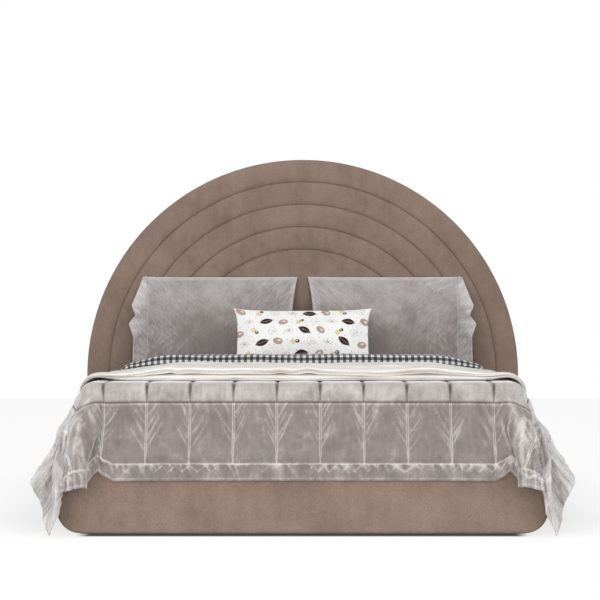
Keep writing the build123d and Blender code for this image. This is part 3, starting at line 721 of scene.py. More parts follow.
# Gives each point of a mesh a value, and each face corner its place on the flat cloth
def paintCloth(mesh, flat, napAndPaintedLight=None):
    layer = mesh.uv_layers.new(name="cloth")
    corners = np.empty(len(mesh.loops), dtype=int)
    mesh.loops.foreach_get("vertex_index", corners)
    layer.data.foreach_set("uv", np.asarray(flat, dtype=float)[corners].ravel())
    values = np.full(len(mesh.vertices), 0.5) if napAndPaintedLight is None else np.clip(napAndPaintedLight, 0, 1)
    mesh.attributes.new("napAndPaintedLight", "FLOAT", "POINT").data.foreach_set("value", values.astype(float))


# Headboard cover: its profile is spun over the arch and drawn down both sides
headboard = {
    "channels": 4,
    "pitch": 0.1125,
    "groove": 0.013,
    "crease": 0.004,
    "centreRecess": 0.004,
    "rim": 0.024,
    "wideChannels": 2,
    "steps": 150,
    "turnIn": 0.03,
    "ripple": 0.0013,
}


# Depth behind the front of one channel across its width, from -1 to 1
def channelDepth(share):
    dome = 1 - (1 - np.abs(share) ** 3.2) ** 0.5
    return headboard["groove"] * dome


def headboardProfile(radius, front, back):
    pitch = headboard["pitch"]
    crease = front + headboard["groove"] + headboard["crease"]
    inner = radius - headboard["channels"] * pitch
    level = front + headboard["centreRecess"]
    points = [(0.0, level)]
    points += [(inner * share, level) for share in np.linspace(0.2, 0.86, 8)]
    edge = inner - pitch / 2
    for share in np.linspace(0.0, 0.985, 12) ** 0.6:
        points.append((edge + (inner - edge) * share, level + channelDepth(share) * 0.75))
    points.append((inner, crease))
    spread = np.sin(np.linspace(-1, 1, 19) * math.pi / 2) * 0.985
    for index in range(headboard["channels"]):
        middle = inner + (index + 0.5) * pitch
        outermost = index == headboard["channels"] - 1
        shares = [s for s in spread if not (outermost and s > 0.45)]
        points += [(middle + s * pitch / 2, front + channelDepth(s)) for s in shares]
        if not outermost:
            points.append((middle + pitch / 2, crease))
    rim = headboard["rim"]
    for angle in np.linspace(0, math.pi / 2, 9):
        points.append((radius - rim + rim * math.sin(angle), front + rim - rim * math.cos(angle) + 0.001))
    points += [(radius, front + rim + (back - front - rim) * share) for share in (0.3, 0.6, 0.9)]
    points += [(radius - 0.002, back + 0.001), (radius - headboard["turnIn"], back + 0.0015)]
    return points


# Draws an open edge of the cover down to each height in turn
def drawDown(bm, edges, heights, narrow, wide):
    for height in heights:
        if height < narrow:
            edges = [e for e in edges if all(abs(v.co.x) > wide for v in e.verts)]
        grown = bmesh.ops.extrude_edge_only(bm, edges=edges)["geom"]
        for v in only(bmesh.types.BMVert, grown):
            v.co.z = height
        edges = [e for e in only(bmesh.types.BMEdge, grown) if all(v.co.z == height for v in e.verts)]


def makeHeadboard():
    low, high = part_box("headboard_cover")
    radius = high.x
    centre = high.z - radius
    bm = bmesh.new()
    chain = [bm.verts.new((r, depth, centre)) for r, depth in headboardProfile(radius, low.y, high.y)]
    edges = [bm.edges.new(pair) for pair in zip(chain, chain[1:])]
    made = bmesh.ops.spin(
        bm,
        geom=chain + edges,
        cent=(0, 0, centre),
        axis=(0, -1, 0),
        angle=math.pi,
        steps=headboard["steps"],
        use_merge=False,
    )
    last = only(bmesh.types.BMEdge, made["geom_last"])
    wide = radius - headboard["wideChannels"] * headboard["pitch"] - 0.001
    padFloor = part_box("centre_panel_foam")[0].z
    heights = [*np.linspace(centre, padFloor, 7)[1:], *np.linspace(padFloor, low.z, 6)[1:]]
    heights = [float(h) for h in np.float32(heights)]
    for side in (edges, last):
        drawDown(bm, side, heights, padFloor - 0.001, wide)
    bmesh.ops.remove_doubles(bm, verts=bm.verts, dist=0.0001)
    bmesh.ops.recalc_face_normals(bm, faces=bm.faces)
    obj = pieceFrom("headboardCover", bm)
    mesh = obj.data
    points = readPoints(mesh)
    above = np.maximum(points[:, 2] - centre, 0)
    across = np.hypot(points[:, 0], above)
    around = np.where(above > 0, np.arctan2(above, points[:, 0]) * radius, points[:, 2] - centre)
    inside = points[:, 1] < low.y + 0.03
    wave = layeredNoise(across * 14, around * 9 + 40, 5) + 0.6 * layeredNoise(across * 4, around * 30 + 9, 11)
    points[:, 1] += np.where(inside, wave * headboard["ripple"], 0)
    writePoints(mesh, points)
    facing = sum(p.normal.y * p.area for p in mesh.polygons if p.center.y < low.y + 0.03)
    if facing > 0:
        mesh.flip_normals()
    foams = [f"channel_foam_{i + 1}" for i in range(headboard["channels"])]
    finishPiece(obj, "taupe_velour", ["headboard_cover", "centre_panel_foam", "rim_foam", *foams])


makeHeadboard()
print("headboard made")

# Upholstered base: rounded panels from bevelled blocks
base = {
    "lowerRound": 0.085,
    "upperRound": 0.03,
    "frontRound": 0.014,
    "cell": 0.03,
    "ripple": 0.0009,
}


def blockBetween(bm, low, high):
    made = bmesh.ops.create_cube(bm, size=1)["verts"]
    bmesh.ops.scale(bm, vec=[b - a for a, b in zip(low, high)], verts=made)
    bmesh.ops.translate(bm, vec=[(a + b) / 2 for a, b in zip(low, high)], verts=made)


def edgesWhere(bm, test):
    return [e for e in bm.edges if all(test(v.co) for v in e.verts)]


def roundEdges(bm, edges, radius, segments):
    bmesh.ops.bevel(
        bm, geom=edges, offset=radius, segments=segments, profile=0.5, affect="EDGES", material=-1
    )


# Cuts a mesh into cells along one axis
def sliceAlong(bm, axis, low, high, cell):
    count = max(int((high - low) / cell), 1)
    normal = [0, 0, 0]
    normal[axis] = 1
    for i in range(1, count):
        place = [0, 0, 0]
        place[axis] = low + (high - low) * i / count
        geom = bm.verts[:] + bm.edges[:] + bm.faces[:]
        bmesh.ops.bisect_plane(bm, geom=geom, plane_co=place, plane_no=normal, dist=1e-5)


# A rounded panel's outline: large rounds at the floor and small ones at the top
def panelOutline(half, low, high):
    points = []
    corners = (
        (half, low, base["lowerRound"], -90, 12),
        (half, high, base["upperRound"], 0, 6),
        (-half, high, base["upperRound"], 90, 6),
        (-half, low, base["lowerRound"], 180, 12),
    )
    for x, z, radius, start, steps in corners:
        middle = (x - math.copysign(radius, x), z + radius if z == low else z - radius)
        points += arc(middle, radius, start, start + 90, steps + 1)
    return points


# A new mesh of a panel's outline, drawn forward from its back
def drawnPanel(outline, front, back):
    bm = bmesh.new()
    face = bm.faces.new([bm.verts.new((x, back, z)) for x, z in outline])
    grown = bmesh.ops.extrude_face_region(bm, geom=[face])["geom"]
    bmesh.ops.translate(bm, vec=(0, front - back, 0), verts=only(bmesh.types.BMVert, grown))
    return bm


def rippled(obj, amount, seed):
    mesh = obj.data
    points = readPoints(mesh)
    wave = layeredNoise(points[:, 0] * 3 + points[:, 1] * 3 + 20, points[:, 2] * 6 + 20, seed)
    writePoints(mesh, points + readNormals(mesh) * (wave * amount)[:, None])


def makeFootPanel():
    low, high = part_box("foot_cover")
    bm = drawnPanel(panelOutline(high.x, low.z, high.z), low.y, high.y)
    edges = edgesWhere(bm, lambda c: c.y < low.y + 1e-4)
    roundEdges(bm, edges, base["frontRound"], 7)
    flat = max(bm.faces, key=lambda f: f.calc_area() if f.calc_center_median().y < low.y + 1e-3 else 0)
    bmesh.ops.inset_region(bm, faces=[flat], thickness=0.004)
    bmesh.ops.recalc_face_normals(bm, faces=bm.faces)
    obj = pieceFrom("footPanelCover", bm)
    finishPiece(obj, "taupe_velour", ["foot_cover", "foot_foam"])


def makeSideRail(side):
    low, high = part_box(f"side_cover_{side}")
    flip = 1 if side == "right" else -1
    inner = min(abs(low.x), abs(high.x))
    outer = max(abs(low.x), abs(high.x))
    bm = drawnPanel(panelOutline(outer, low.z, high.z), low.y, high.y)
    geom = bm.verts[:] + bm.edges[:] + bm.faces[:]
    place, normal = (flip * inner, 0, 0), (flip, 0, 0)
    bmesh.ops.bisect_plane(bm, geom=geom, plane_co=place, plane_no=normal, clear_inner=True)
    bmesh.ops.holes_fill(bm, edges=[e for e in bm.edges if e.is_boundary])
    sliceAlong(bm, 1, low.y, high.y, base["cell"] * 2)
    bmesh.ops.recalc_face_normals(bm, faces=bm.faces)
    obj = pieceFrom(f"sideRailCover{side.title()}", bm)
    rippled(obj, base["ripple"], 33)
    finishPiece(obj, "taupe_velour", [f"side_cover_{side}", f"side_foam_{side}"])


makeFootPanel()
makeSideRail("left")
makeSideRail("right")
print("base made")

# Fitted sheet: a rounded block that is creased a little where it is pulled round the mattress
fitted = {"corner": 0.06, "edge": 0.03, "cell": 0.022, "crease": 0.0022}


def uprightEdges(bm):
    found = []
    for edge in bm.edges:
        a, b = edge.verts
        if abs(a.co.x - b.co.x) < 1e-5 and abs(a.co.y - b.co.y) < 1e-5:
            found.append(edge)
    return found


def makeFittedSheet():
    low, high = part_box("fitted_sheet")
    bm = bmesh.new()
    blockBetween(bm, low, high)
    roundEdges(bm, uprightEdges(bm), fitted["corner"], 8)
    roundEdges(bm, edgesWhere(bm, lambda c: c.z > high.z - 1e-4), fitted["edge"], 6)
    bottom = [f for f in bm.faces if all(v.co.z < low.z + 1e-4 for v in f.verts)]
    bmesh.ops.delete(bm, geom=bottom, context="FACES")
    sliceAlong(bm, 0, low.x + fitted["corner"], high.x - fitted["corner"], fitted["cell"])
    sliceAlong(bm, 1, low.y + fitted["corner"], high.y - fitted["corner"], fitted["cell"])
    sliceAlong(bm, 2, low.z, high.z - fitted["edge"], fitted["cell"])
    bmesh.ops.recalc_face_normals(bm, faces=bm.faces)
    obj = pieceFrom("fittedSheetCloth", bm)
    mesh = obj.data
    points = readPoints(mesh)
    wave = layeredNoise(points[:, 0] * 6 + 30, points[:, 1] * 16 + points[:, 2] * 22 + 30, 41)
    pulled = ramped(high.z - points[:, 2], 0.0, 0.08) * 0.7 + 0.3
    writePoints(mesh, points + readNormals(mesh) * ((wave * pulled + 0.7) * fitted["crease"])[:, None])
    paintCloth(mesh, points[:, :2])
    finishPiece(obj, "sheet_cotton", ["fitted_sheet"])


makeFittedSheet()
print("fitted sheet made")

# Quilt: a sheet that falls over the mattress and base, simulated on its right half and mirrored
quilt = {
    "gap": 0.01,  # from the mattress and base to the middle of the cloth
    "bend": 0.06,
    "shear": 0.5,
    "sideEase": 0.05,
    "footEase": 0.01,
    "wave": 0.012,
    "startGap": 0.015,  # between the base and the foot end as it starts
    "startSlant": (0.28, 0.96),  # its way out and down
    "cornerPush": 0.3,
    "jitter": 0.003,
    "fastest": 0.025,
    "speedKept": (0.985, 0.9),  # in the early steps, and in the later ones
    "earlyShare": 0.6,
    "slipStopped": 0.2,
    "seed": 9,
    "pinned": (0.755, -0.955),
    "levels": ((0.05, 150, 14, 0.6), (0.025, 70, 14, 0.25), (0.0167, 24, 12, 0.12)),
    "quickLevels": ((0.05, 150, 10, 0.6),),
    "flare": (0.36, 0.66),  # share kept of what stands out past the base, high up and at the hem
    "nearest": -1.14,  # past it the foot end is drawn back
    "drawnBack": 0.25,
    "sideHeights": (0.26, 0.35, 0.42, 0.5),
    "sideKept": (1, 0.8, 0.6, 0.7),  # share kept there of what stands out past the mattress
    "tip": (0.9, -1.14, 0.011),
    "tipWays": ((-0.3, -0.18, 0.64), (0.5, 0.5, 0.6)),  # the two hems' ways from it, at the foot and the side
    "notches": ((-1, 0.735, 0.026), (1, 0.745, 0.022)),  # side, place across, drop beyond it
    "notchLift": 0.036,
    "hem": 0.006,
    "hemCells": 7,
    "acrossCells": (0.0033, 0.0068, 0.03, 0.045),  # by a seam, away from it, and how far each reaches
    "hangingCells": (0.0034, 0.0045),
    "lyingCells": (0.008, 0.022, 0.008, 0.04),
}


# Moves the two ends of every pair of points towards their rest distance
def pullPairs(a, b, rest, freeA, freeB, stiff, onlyOpen=False):
    gap = b - a
    length = np.sqrt((gap * gap).sum(axis=-1, keepdims=True))
    miss = (length - rest) / np.maximum(length, 1e-9)
    if onlyOpen:
        miss = np.minimum(miss, 0)
    move = gap * (miss * stiff / np.maximum(freeA + freeB, 1e-9))
    a += move * freeA
    b -= move * freeB


def pairsAlong(array, start, reach, axis):
    turned = array.swapaxes(0, axis)
    a = turned[start : -reach : 2 * reach]
    b = turned[start + reach :: 2 * reach]
    count = min(len(a), len(b))
    return a[:count], b[:count]


def relaxCloth(points, rests, free, bends):
    for reach, stiff, onlyOpen in bends:
        for axis, rest in enumerate(rests[:2]):
            for start in range(2 * reach):
                a, b = pairsAlong(points, start, reach, axis)
                freeA, freeB = pairsAlong(free, start, reach, axis)
                span, _ = pairsAlong(rest, start, reach, axis)
                pullPairs(a, b, span * reach, freeA, freeB, stiff, onlyOpen)
    slant = rests[2]
    for s in (0, 1):
        near, far = slice(s, -1, 2), slice(s + 1, None, 2)
        for left, right in ((slice(None, -1), slice(1, None)), (slice(1, None), slice(None, -1))):
            a, b = points[near, left], points[far, right]
            pullPairs(a, b, slant[near, :-1], free[near, left], free[far, right], quilt["shear"])


# Distance from a block with rounded upright corners and a rounded top, and the way out of it
def blockDistance(points, block):
    half, front, back, corner, top, edge = block
    x, y, z = points[..., 0], points[..., 1] - (front + back) / 2, points[..., 2]
    overX = np.abs(x) - (half - corner)
    overY = np.abs(y) - ((back - front) / 2 - corner)
    outX, outY = np.maximum(overX, 0), np.maximum(overY, 0)
    out = np.hypot(outX, outY)
    plan = out + np.minimum(np.maximum(overX, overY), 0) - corner
    wayX = np.where(out > 0, outX / np.maximum(out, 1e-9), overX > overY) * np.sign(x)
    wayY = np.where(out > 0, outY / np.maximum(out, 1e-9), overX <= overY) * np.sign(y)
    a, b = plan + edge, z - top + edge
    outA, outB = np.maximum(a, 0), np.maximum(b, 0)
    far = np.hypot(outA, outB)
    wayA = np.where(far > 0, outA / np.maximum(far, 1e-9), a > b)
    wayB = np.where(far > 0, outB / np.maximum(far, 1e-9), a <= b)
    distance = far + np.minimum(np.maximum(a, b), 0) - edge
    return distance, np.stack([wayX * wayA, wayY * wayA, wayB], axis=-1)


def restOn(points, old, free, blocks):
    for block in blocks:
        distance, way = blockDistance(points, block)
        deep = np.maximum(quilt["gap"] - distance, 0)[..., None] * free
        points += way * deep
        slip = points - old
        slip -= (slip * way).sum(axis=-1, keepdims=True) * way
        points -= np.where(deep > 0, slip * quilt["slipStopped"], 0)
    points[..., 2] = np.maximum(points[..., 2], quilt["gap"])


# Cubic interpolation of a grid of points along its first axis
def cubicAlong(grid, places):
    count = grid.shape[0]
    padded = np.concatenate([2 * grid[:1] - grid[1:2], grid, 2 * grid[-1:] - grid[-2:-1]])
    i = np.clip(np.floor(places).astype(int), 0, count - 2)
    t = (places - i).reshape(-1, *([1] * (grid.ndim - 1)))
    a, b, c, d = padded[i], padded[i + 1], padded[i + 2], padded[i + 3]
    return b + 0.5 * t * (c - a + t * (2 * a - 5 * b + 4 * c - d + t * (3 * (b - c) + d - a)))


def refined(grid, countX, countY):
    grid = cubicAlong(grid, np.linspace(0, grid.shape[0] - 1, countX))
    return cubicAlong(grid.swapaxes(0, 1), np.linspace(0, grid.shape[1] - 1, countY)).swapaxes(0, 1).copy()


def quiltBlocks():
    low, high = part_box("fitted_sheet")
    lowBase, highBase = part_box("foot_cover")
    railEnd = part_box("side_cover_left")[1].y
    mattress = (high.x, low.y, high.y, fitted["corner"], high.z, fitted["edge"])
    return [mattress, (highBase.x, lowBase.y, railEnd, base["upperRound"], highBase.z, base["upperRound"])]


# The quilt starts with its foot end folded down, and its sides still straight out
def foldedDown(x, y, side, edge, top):
    out, down = quilt["startSlant"]
    drop = np.maximum(edge - y, 0)
    along = np.where(drop > 0, edge - quilt["startGap"] - drop * out, y)
    points = np.stack([x, along, top + quilt["gap"] - drop * down], axis=-1)
    points[..., 2] += quilt["wave"] * np.sin(y * 34 + 1) * side
    return points


def fallQuilt():
    half, front, back = quiltSpan()
    low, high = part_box("fitted_sheet")
    blocks = quiltBlocks()
    rng = np.random.default_rng(quilt["seed"])
    points = None
    for cell, steps, rounds, weight in quilt["levels"]:
        countX = int(round(half / cell)) + 1
        countY = int(round((back - front) / cell)) + 1
        x, y = np.meshgrid(np.linspace(0, half, countX), np.linspace(front, back, countY), indexing="ij")
        side = np.clip((x - high.x) / quiltCut["sideDrop"], 0, 1)
        foot = np.clip((low.y - y) / quiltCut["footDrop"], 0, 1)
        across = half / (countX - 1) * (1 + quilt["footEase"] * foot)
        along = (back - front) / (countY - 1) * (1 + quilt["sideEase"] * side)
        rests = [v[..., None] for v in (across, along, np.hypot(across, along))]
        first = points is None
        points = foldedDown(x, y, side, low.y, high.z) if first else refined(points, countX, countY)
        free = ((x > quilt["pinned"][0]) | (y < quilt["pinned"][1])).astype(float)[..., None]
        points += free * (rng.random(points.shape) - 0.5) * quilt["jitter"]
        bends = [(1, 1.0, False), (2, quilt["bend"], True)]
        if cell < 0.03:
            bends.append((4, quilt["bend"] / 2, True))
        old = points.copy()
        pull = 9.81 / 60**2 * weight  # at 60 steps a second
        fall = np.array([0, 0, -pull])
        push = np.array([0, pull, 0]) * quilt["cornerPush"] * (side * foot)[..., None]
        for step in range(steps):
            early = step < steps * quilt["earlyShare"]
            move = (points - old) * quilt["speedKept"][0 if early else 1]
            speed = np.linalg.norm(move, axis=-1, keepdims=True)
            move *= np.minimum(1, quilt["fastest"] / np.maximum(speed, 1e-9))
            old = points.copy()
            points = points + (move + fall + (push if early and first else 0)) * free
            for turn in range(rounds):
                relaxCloth(points, rests, free, bends)
                points[0, :, 0] = 0
                if turn % 3 == 2 or turn == rounds - 1:
                    restOn(points, old, free, blocks)
    return np.concatenate([points[::-1][:-1] * np.array([-1, 1, 1]), points])


# Straightens the quilt's two corners down to their tips on the floor
def hungCorners(points, us, vs):
    half, front, _ = quiltSpan()
    aside = half - np.abs(us)
    behind = vs - front
    near = (1 - ramped(aside + behind, 0.07, 0.22))[..., None]
    tip, alongFoot, alongSide = (np.array(v) for v in (quilt["tip"], *quilt["tipWays"]))
    plain = tip + aside[..., None] * alongFoot + behind[..., None] * alongSide
    plain[..., 0] *= np.sign(points[..., 0])
    return points * (1 - near) + plain * near


# Draws the sides in towards the mattress and base, and the foot end back
def shapedQuilt(grid):
    half, front, back = quiltSpan()
    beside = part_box("fitted_sheet")[1].x
    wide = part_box("foot_cover")[1].x + 0.012
    us = np.linspace(-half, half, grid.shape[0])[:, None]
    vs = np.linspace(front, back, grid.shape[1])[None]
    points = hungCorners(grid, us, vs)
    near = np.interp(points[..., 2], quilt["sideHeights"], quilt["sideKept"])
    past = np.maximum(np.abs(points[..., 0]) - beside, 0) * (points[..., 2] > quilt["sideHeights"][0])
    points[..., 0] -= np.sign(points[..., 0]) * past * (1 - near)
    over = np.maximum(np.abs(points[..., 0]) - wide, 0)
    upper, hem = quilt["flare"]
    flare = upper + (hem - upper) * ramped(np.abs(us), half - 0.16, half)
    points[..., 0] -= np.sign(points[..., 0]) * over * (1 - flare)
    points[..., 1] += np.maximum(quilt["nearest"] - points[..., 1], 0) * quilt["drawnBack"]
    return points


# Lifts the foot's hem to a sharp notch where each corner's fold starts, and drops it beyond
def notchedHem(points, us, vs):
    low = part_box("fitted_sheet")[0]
    us, vs = us[:, None], vs[None]
    hang = ramped(low.y - 0.05 - vs, 0, quiltCut["footDrop"] - 0.05)
    for side, notch, drop in quilt["notches"]:
        across = us * side
        lift = np.interp(across, [notch - 0.055, notch, notch + 0.07], [0, quilt["notchLift"], -drop])
        lift = lift * (1 - ramped(across, 0.9, 0.98))
        points[..., 2] += lift * hang
        ridge = bell(across - notch + 0.03 - 0.06 * (vs - vs[0, 0]), 0.014)
        points[..., 1] -= 0.012 * ridge * hang
    return points


def sampled(grid, us, vs):
    half, front, back = quiltSpan()
    placesU = (us + half) / (2 * half) * (grid.shape[0] - 1)
    placesV = (vs - front) / (back - front) * (grid.shape[1] - 1)
    return cubicAlong(cubicAlong(grid, placesU).swapaxes(0, 1), placesV).swapaxes(0, 1)


def gridNormals(points):
    normal = np.cross(np.gradient(points, axis=0), np.gradient(points, axis=1))
    return normal / np.maximum(np.linalg.norm(normal, axis=2, keepdims=True), 1e-9)


# A bmesh grid laid on an array of points over its width and length
def gridPiece(name, points, flat, napAndPaintedLight=None):
    countX, countY = points.shape[:2]
    bm = bmesh.new()
    bmesh.ops.create_grid(bm, x_segments=countX - 1, y_segments=countY - 1, size=1)
    obj = pieceFrom(name, bm)
    plain = readPoints(obj.data)
    column = np.rint((plain[:, 0] + 1) / 2 * (countX - 1)).astype(int)
    row = np.rint((plain[:, 1] + 1) / 2 * (countY - 1)).astype(int)
    writePoints(obj.data, points[column, row])
    paintCloth(obj.data, flat[column, row], None if napAndPaintedLight is None else napAndPaintedLight[column, row])
    return obj


# Rows of a cloth's fine grid: close together by its seams and wider between them
def spacedLines(seams, start, end, fine, coarse, near=0.006, far=0.03):
    lines = [start]
    while lines[-1] < end - fine * 0.5:
        away = np.abs(seams - lines[-1]).min() if len(seams) else 1
        lines.append(lines[-1] + fine + (coarse - fine) * min(max((away - near) / (far - near), 0), 1))
    lines[-1] = end
    return np.array(lines)


def seamDistance(places, seams):
    return np.abs(places[:, None] - seams[None]).min(axis=1)


# Small ridges and long creases: two values are the least and the most of a draw
smallRidge = {
    "start": (0.045, 0.075),
    "slope": (1.1, 2.1),
    "reach": (0.034, 0.074),
    "wide": (0.0028, 0.0048),
    "strength": (0.45, 1.0),
    "step": (0.019, 0.04),
    "seamShare": 0.55,  # of a column, how far from the seam it may go
    "curve": 5,
}
longCrease = {
    "angle": (-28, 4, 100),  # least, likeliest and most, in degrees from straight down
    "start": (0.03, 0.15),
    "reach": (0.13, 0.33),
    "shift": (-0.09, 0.05),
    "bend": (-0.6, 0.6),
    "wide": (0.0036, 0.0065),
    "strength": (0.45, 1.0),
    "count": 12,
}


# Small ridges that rise outwards from each upright seam of the row that hangs over the foot
def fishbone(us, vs, across, along, rng):
    height = np.zeros((len(us), len(vs)))
    low, high = along[0], along[1]
    inRow = np.where((vs > low) & (vs < high))[0]
    v = vs[inRow][None]
    for seam in across[2:-2]:
        for side in (-1, 1):
            near = np.abs(us - seam) < quiltCut["column"] * smallRidge["seamShare"]
            columns = np.where((np.sign(us - seam) == side) & near)[0]
            away = np.abs(us[columns] - seam)[:, None]
            start = low + rng.uniform(*smallRidge["start"])
            while start < high - 0.04:
                slope = rng.uniform(*smallRidge["slope"])
                reach = rng.uniform(*smallRidge["reach"])
                wide = rng.uniform(*smallRidge["wide"])
                strength = rng.uniform(*smallRidge["strength"])
                miss = v - start - slope * away - smallRidge["curve"] * away * away
                fade = ramped(away, 0.002, 0.009) * (1 - ramped(away, reach * 0.55, reach * 1.15))
                height[np.ix_(columns, inRow)] += strength * fade * bell(miss, wide * math.hypot(1, slope))
                start += rng.uniform(*smallRidge["step"])
    return np.minimum(height, 1.1)


# Long creases that run down from the mattress's two front corners
def cornerCreases(us, vs, rng):
    low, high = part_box("fitted_sheet")
    height = np.zeros((len(us), len(vs)))
    u, v = us[:, None], vs[None]
    for side in (-1, 1):
        for _ in range(longCrease["count"]):
            angle = math.radians(rng.triangular(*longCrease["angle"]))
            start = rng.uniform(*longCrease["start"])
            reach = rng.uniform(*longCrease["reach"])
            shift = rng.uniform(*longCrease["shift"])
            x = u * side - high.x - shift
            y = low.y - v
            bend = rng.uniform(*longCrease["bend"])
            ahead = x * math.sin(angle) + y * math.cos(angle)
            miss = x * math.cos(angle) - y * math.sin(angle) + bend * ahead * (ahead - reach)
            wide = rng.uniform(*longCrease["wide"])
            fade = ramped(ahead, start, start + 0.04) * (1 - ramped(ahead, reach * 0.75, reach * 1.1))
            height += rng.uniform(*longCrease["strength"]) * fade * bell(miss, wide)
    return np.minimum(height, 1.3)


# Pleats that fan out round the mattress's two front corners
def cornerFan(us, vs):
    low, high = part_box("fitted_sheet")
    x = np.abs(us[:, None]) - high.x + 0.01
    y = low.y + 0.01 - vs[None]
    angle, reach = np.arctan2(x, y), np.hypot(x, y)
    wander = 0.05 * softNoise(us[:, None] * 6 + 60, vs[None] * 6 + 60, 62)
    turned = angle + wander + np.sign(us[:, None]) * 4 + 10
    broad = np.clip(1 - 3.6 * np.abs(softNoise(turned * 17, reach * 3.2 + 4, 61)), 0, 1)
    slim = np.clip(1 - 5 * np.abs(softNoise(turned * 31, reach * 5 + 9, 64)), 0, 1)
    ridges = np.maximum(broad, slim * 0.7)
    fade = ramped(reach, 0.04, 0.13) * ramped(angle, -0.35, 0.0) * (1 - ramped(angle, 1.35, 1.75))
    return ridges * fade


# How far each form lifts the quilt, in metres, and how much it lightens or darkens the cloth, mostly as
# painted highlights on ridges, creases and crumples and painted shade in seams and slits
relief = {
    "bones": (0.0028, 0.29),
    "creases": (0.003, 0.3),
    "crumple": (0.004, 0.42),
    "fan": (0.005, 0.34),
    "rough": (0.0008, 0.06),
    "pleats": (0.0075, 0.22),
    "zigzag": (0.002, 0.34),
    "vein": (0, 0.1),
    "seamHighlight": (0, 0.5),
    "underRowHighlight": (0, 0.28),
    "stitch": (0, 0.24),
    "rowSeamShade": (0, -0.42),
    "slit": (0, -1.15),
    "topSeamShade": (0, -0.22),
    "puff": (0.007, 0),
    "borderPuff": (0.0045, 0.07),
    "cornerSwell": (0.026, 0),
}


def quiltRelief(us, vs, facing):
    across, along = seamPlaces()
    half, front, _ = quiltSpan()
    low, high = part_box("fitted_sheet")
    rng = np.random.default_rng(12)
    u, v = us[:, None], vs[None]
    wide = np.abs(u)
    fromColumn = seamDistance(us, across)[:, None]
    fromRow = seamDistance(vs, along)[None]
    inside = (wide < across[-1]) & (v > along[0])
    border = 1 - inside
    hanging = 1 - ramped(v, along[1] - 0.006, along[1] + 0.006)
    beside = ramped(wide, high.x, high.x + 0.06)
    toBorder = np.minimum(np.abs(along[0] - v) + 0 * u, np.abs(across[-1] - wide) + 0 * v)
    rise = (1 - np.exp(-fromColumn / 0.005)) * (1 - np.exp(-fromRow / 0.006)) * (1 - 0.55 * hanging)
    crumple = 1 - 3.0 * np.abs(softNoise(u * 52 + v * 24 + 9, v * 17 - u * 6 + 5, 3))
    zig = 2 * np.abs((u / 0.047 + 0.6 * softNoise(u * 9 + 30, 0 * u + 2, 66)) % 1 - 0.5)
    zigzag = bell(along[0] - 0.005 - 0.023 * zig - v, 0.0036) * border
    vein = np.clip(1 - 7 * np.abs(layeredNoise(u * 16 + v * 3 + 50, v * 9 + 50, 27, 2)), 0, 1)
    pleats = layeredNoise(v * 19 + 11, wide * 2.2 + np.sign(u) * 5 + 20, 23, 3)
    first = (1 - hanging) * (1 - ramped(v, along[2] - 0.02, along[2]))
    opened = ramped(v, along[1] + 0.008, along[1] + 0.075)
    forms = {
        "bones": fishbone(us, vs, across, along, rng) * inside,
        "creases": cornerCreases(us, vs, rng) * inside,
        "crumple": np.clip(crumple, -0.4, 1) * np.exp(-toBorder / 0.024) * border,
        "fan": cornerFan(us, vs),
        "rough": layeredNoise(u * 22 + 30, v * 18 + 30, 14),
        "pleats": pleats * ramped(wide, high.x, high.x + 0.12),
        "zigzag": zigzag * np.clip(0.6 + softNoise(u * 14 + 30, 0 * u + 5, 67), 0, 1),
        "vein": vein * inside * (1 - beside),
        "seamHighlight": bell(v - along[0], 0.003) * (wide < across[-1] + 0.02),
        "underRowHighlight": bell(along[1] - 0.0075 - v, 0.0032),
        "stitch": bell(v - front - 0.0075, 0.0022),
        "rowSeamShade": bell(v - along[1], 0.003),
        # Painted shadow in the gaps at the top row's upright seams
        "slit": bell(fromColumn, 0.0024 + 0.003 * opened) * inside * first * (0.3 + 0.9 * opened),
        "topSeamShade": bell(np.minimum(fromColumn, fromRow), 0.005) * inside * (1 - hanging) * (1 - first),
    }
    borderRise = 1 - np.exp(-toBorder / 0.006)
    lift = np.where(inside, relief["puff"][0] * rise, relief["borderPuff"][0] * borderRise)
    lift = lift + relief["cornerSwell"][0] * bell(wide - 0.875, 0.075) * bell(v + 1.13, 0.1)
    napAndPaintedLight = 0.4 + relief["borderPuff"][1] * border
    for form, field in forms.items():
        lift = lift + relief[form][0] * field
        napAndPaintedLight = napAndPaintedLight + relief[form][1] * field
    lift = lift * (0.15 + 0.85 * ramped(half - wide + v - front, 0.05, 0.34))
    # Painted light: the side drops and the lying rows are made paler, and places that face up a little paler,
    # as light falls on them
    pale = np.maximum(beside * ramped(v, low.y - 0.03, low.y + 0.02), ramped(wide + 0 * v, 0.95, 0.975))
    pale = pale * (1 - 0.6 * ramped(v, -0.6, 0.1))
    napAndPaintedLight = napAndPaintedLight + 0.3 * (1 - hanging) * (1 - beside) + pale + 0.2 * beside * hanging * (1 - pale)
    return lift, napAndPaintedLight + 0.06 * ramped(facing, 0.25, 0.8)


# Turns the rim of the grid under, so that the cloth's edge has a thickness
def withHem(points, normals, flat, napAndPaintedLight):
    def padded(array):
        return np.pad(array, ((1, 1), (1, 1)) + ((0, 0),) * (array.ndim - 2), mode="edge")

    steps = quilt["hemCells"]
    inner = points[steps:-steps, steps:-steps] - normals[steps:-steps, steps:-steps] * quilt["hem"]
    edge = padded(points - normals * quilt["hem"] * 0.7)
    edge[1:-1, 1:-1] = points
    outline = padded(edge)
    turned = np.pad(inner, ((steps + 2, steps + 2), (steps + 2, steps + 2), (0, 0)), mode="edge")
    turned[2:-2, 2:-2] = edge[1:-1, 1:-1]
    turned[1:-1, 1:-1] = outline[1:-1, 1:-1]
    return turned, padded(padded(flat)), padded(padded(napAndPaintedLight))


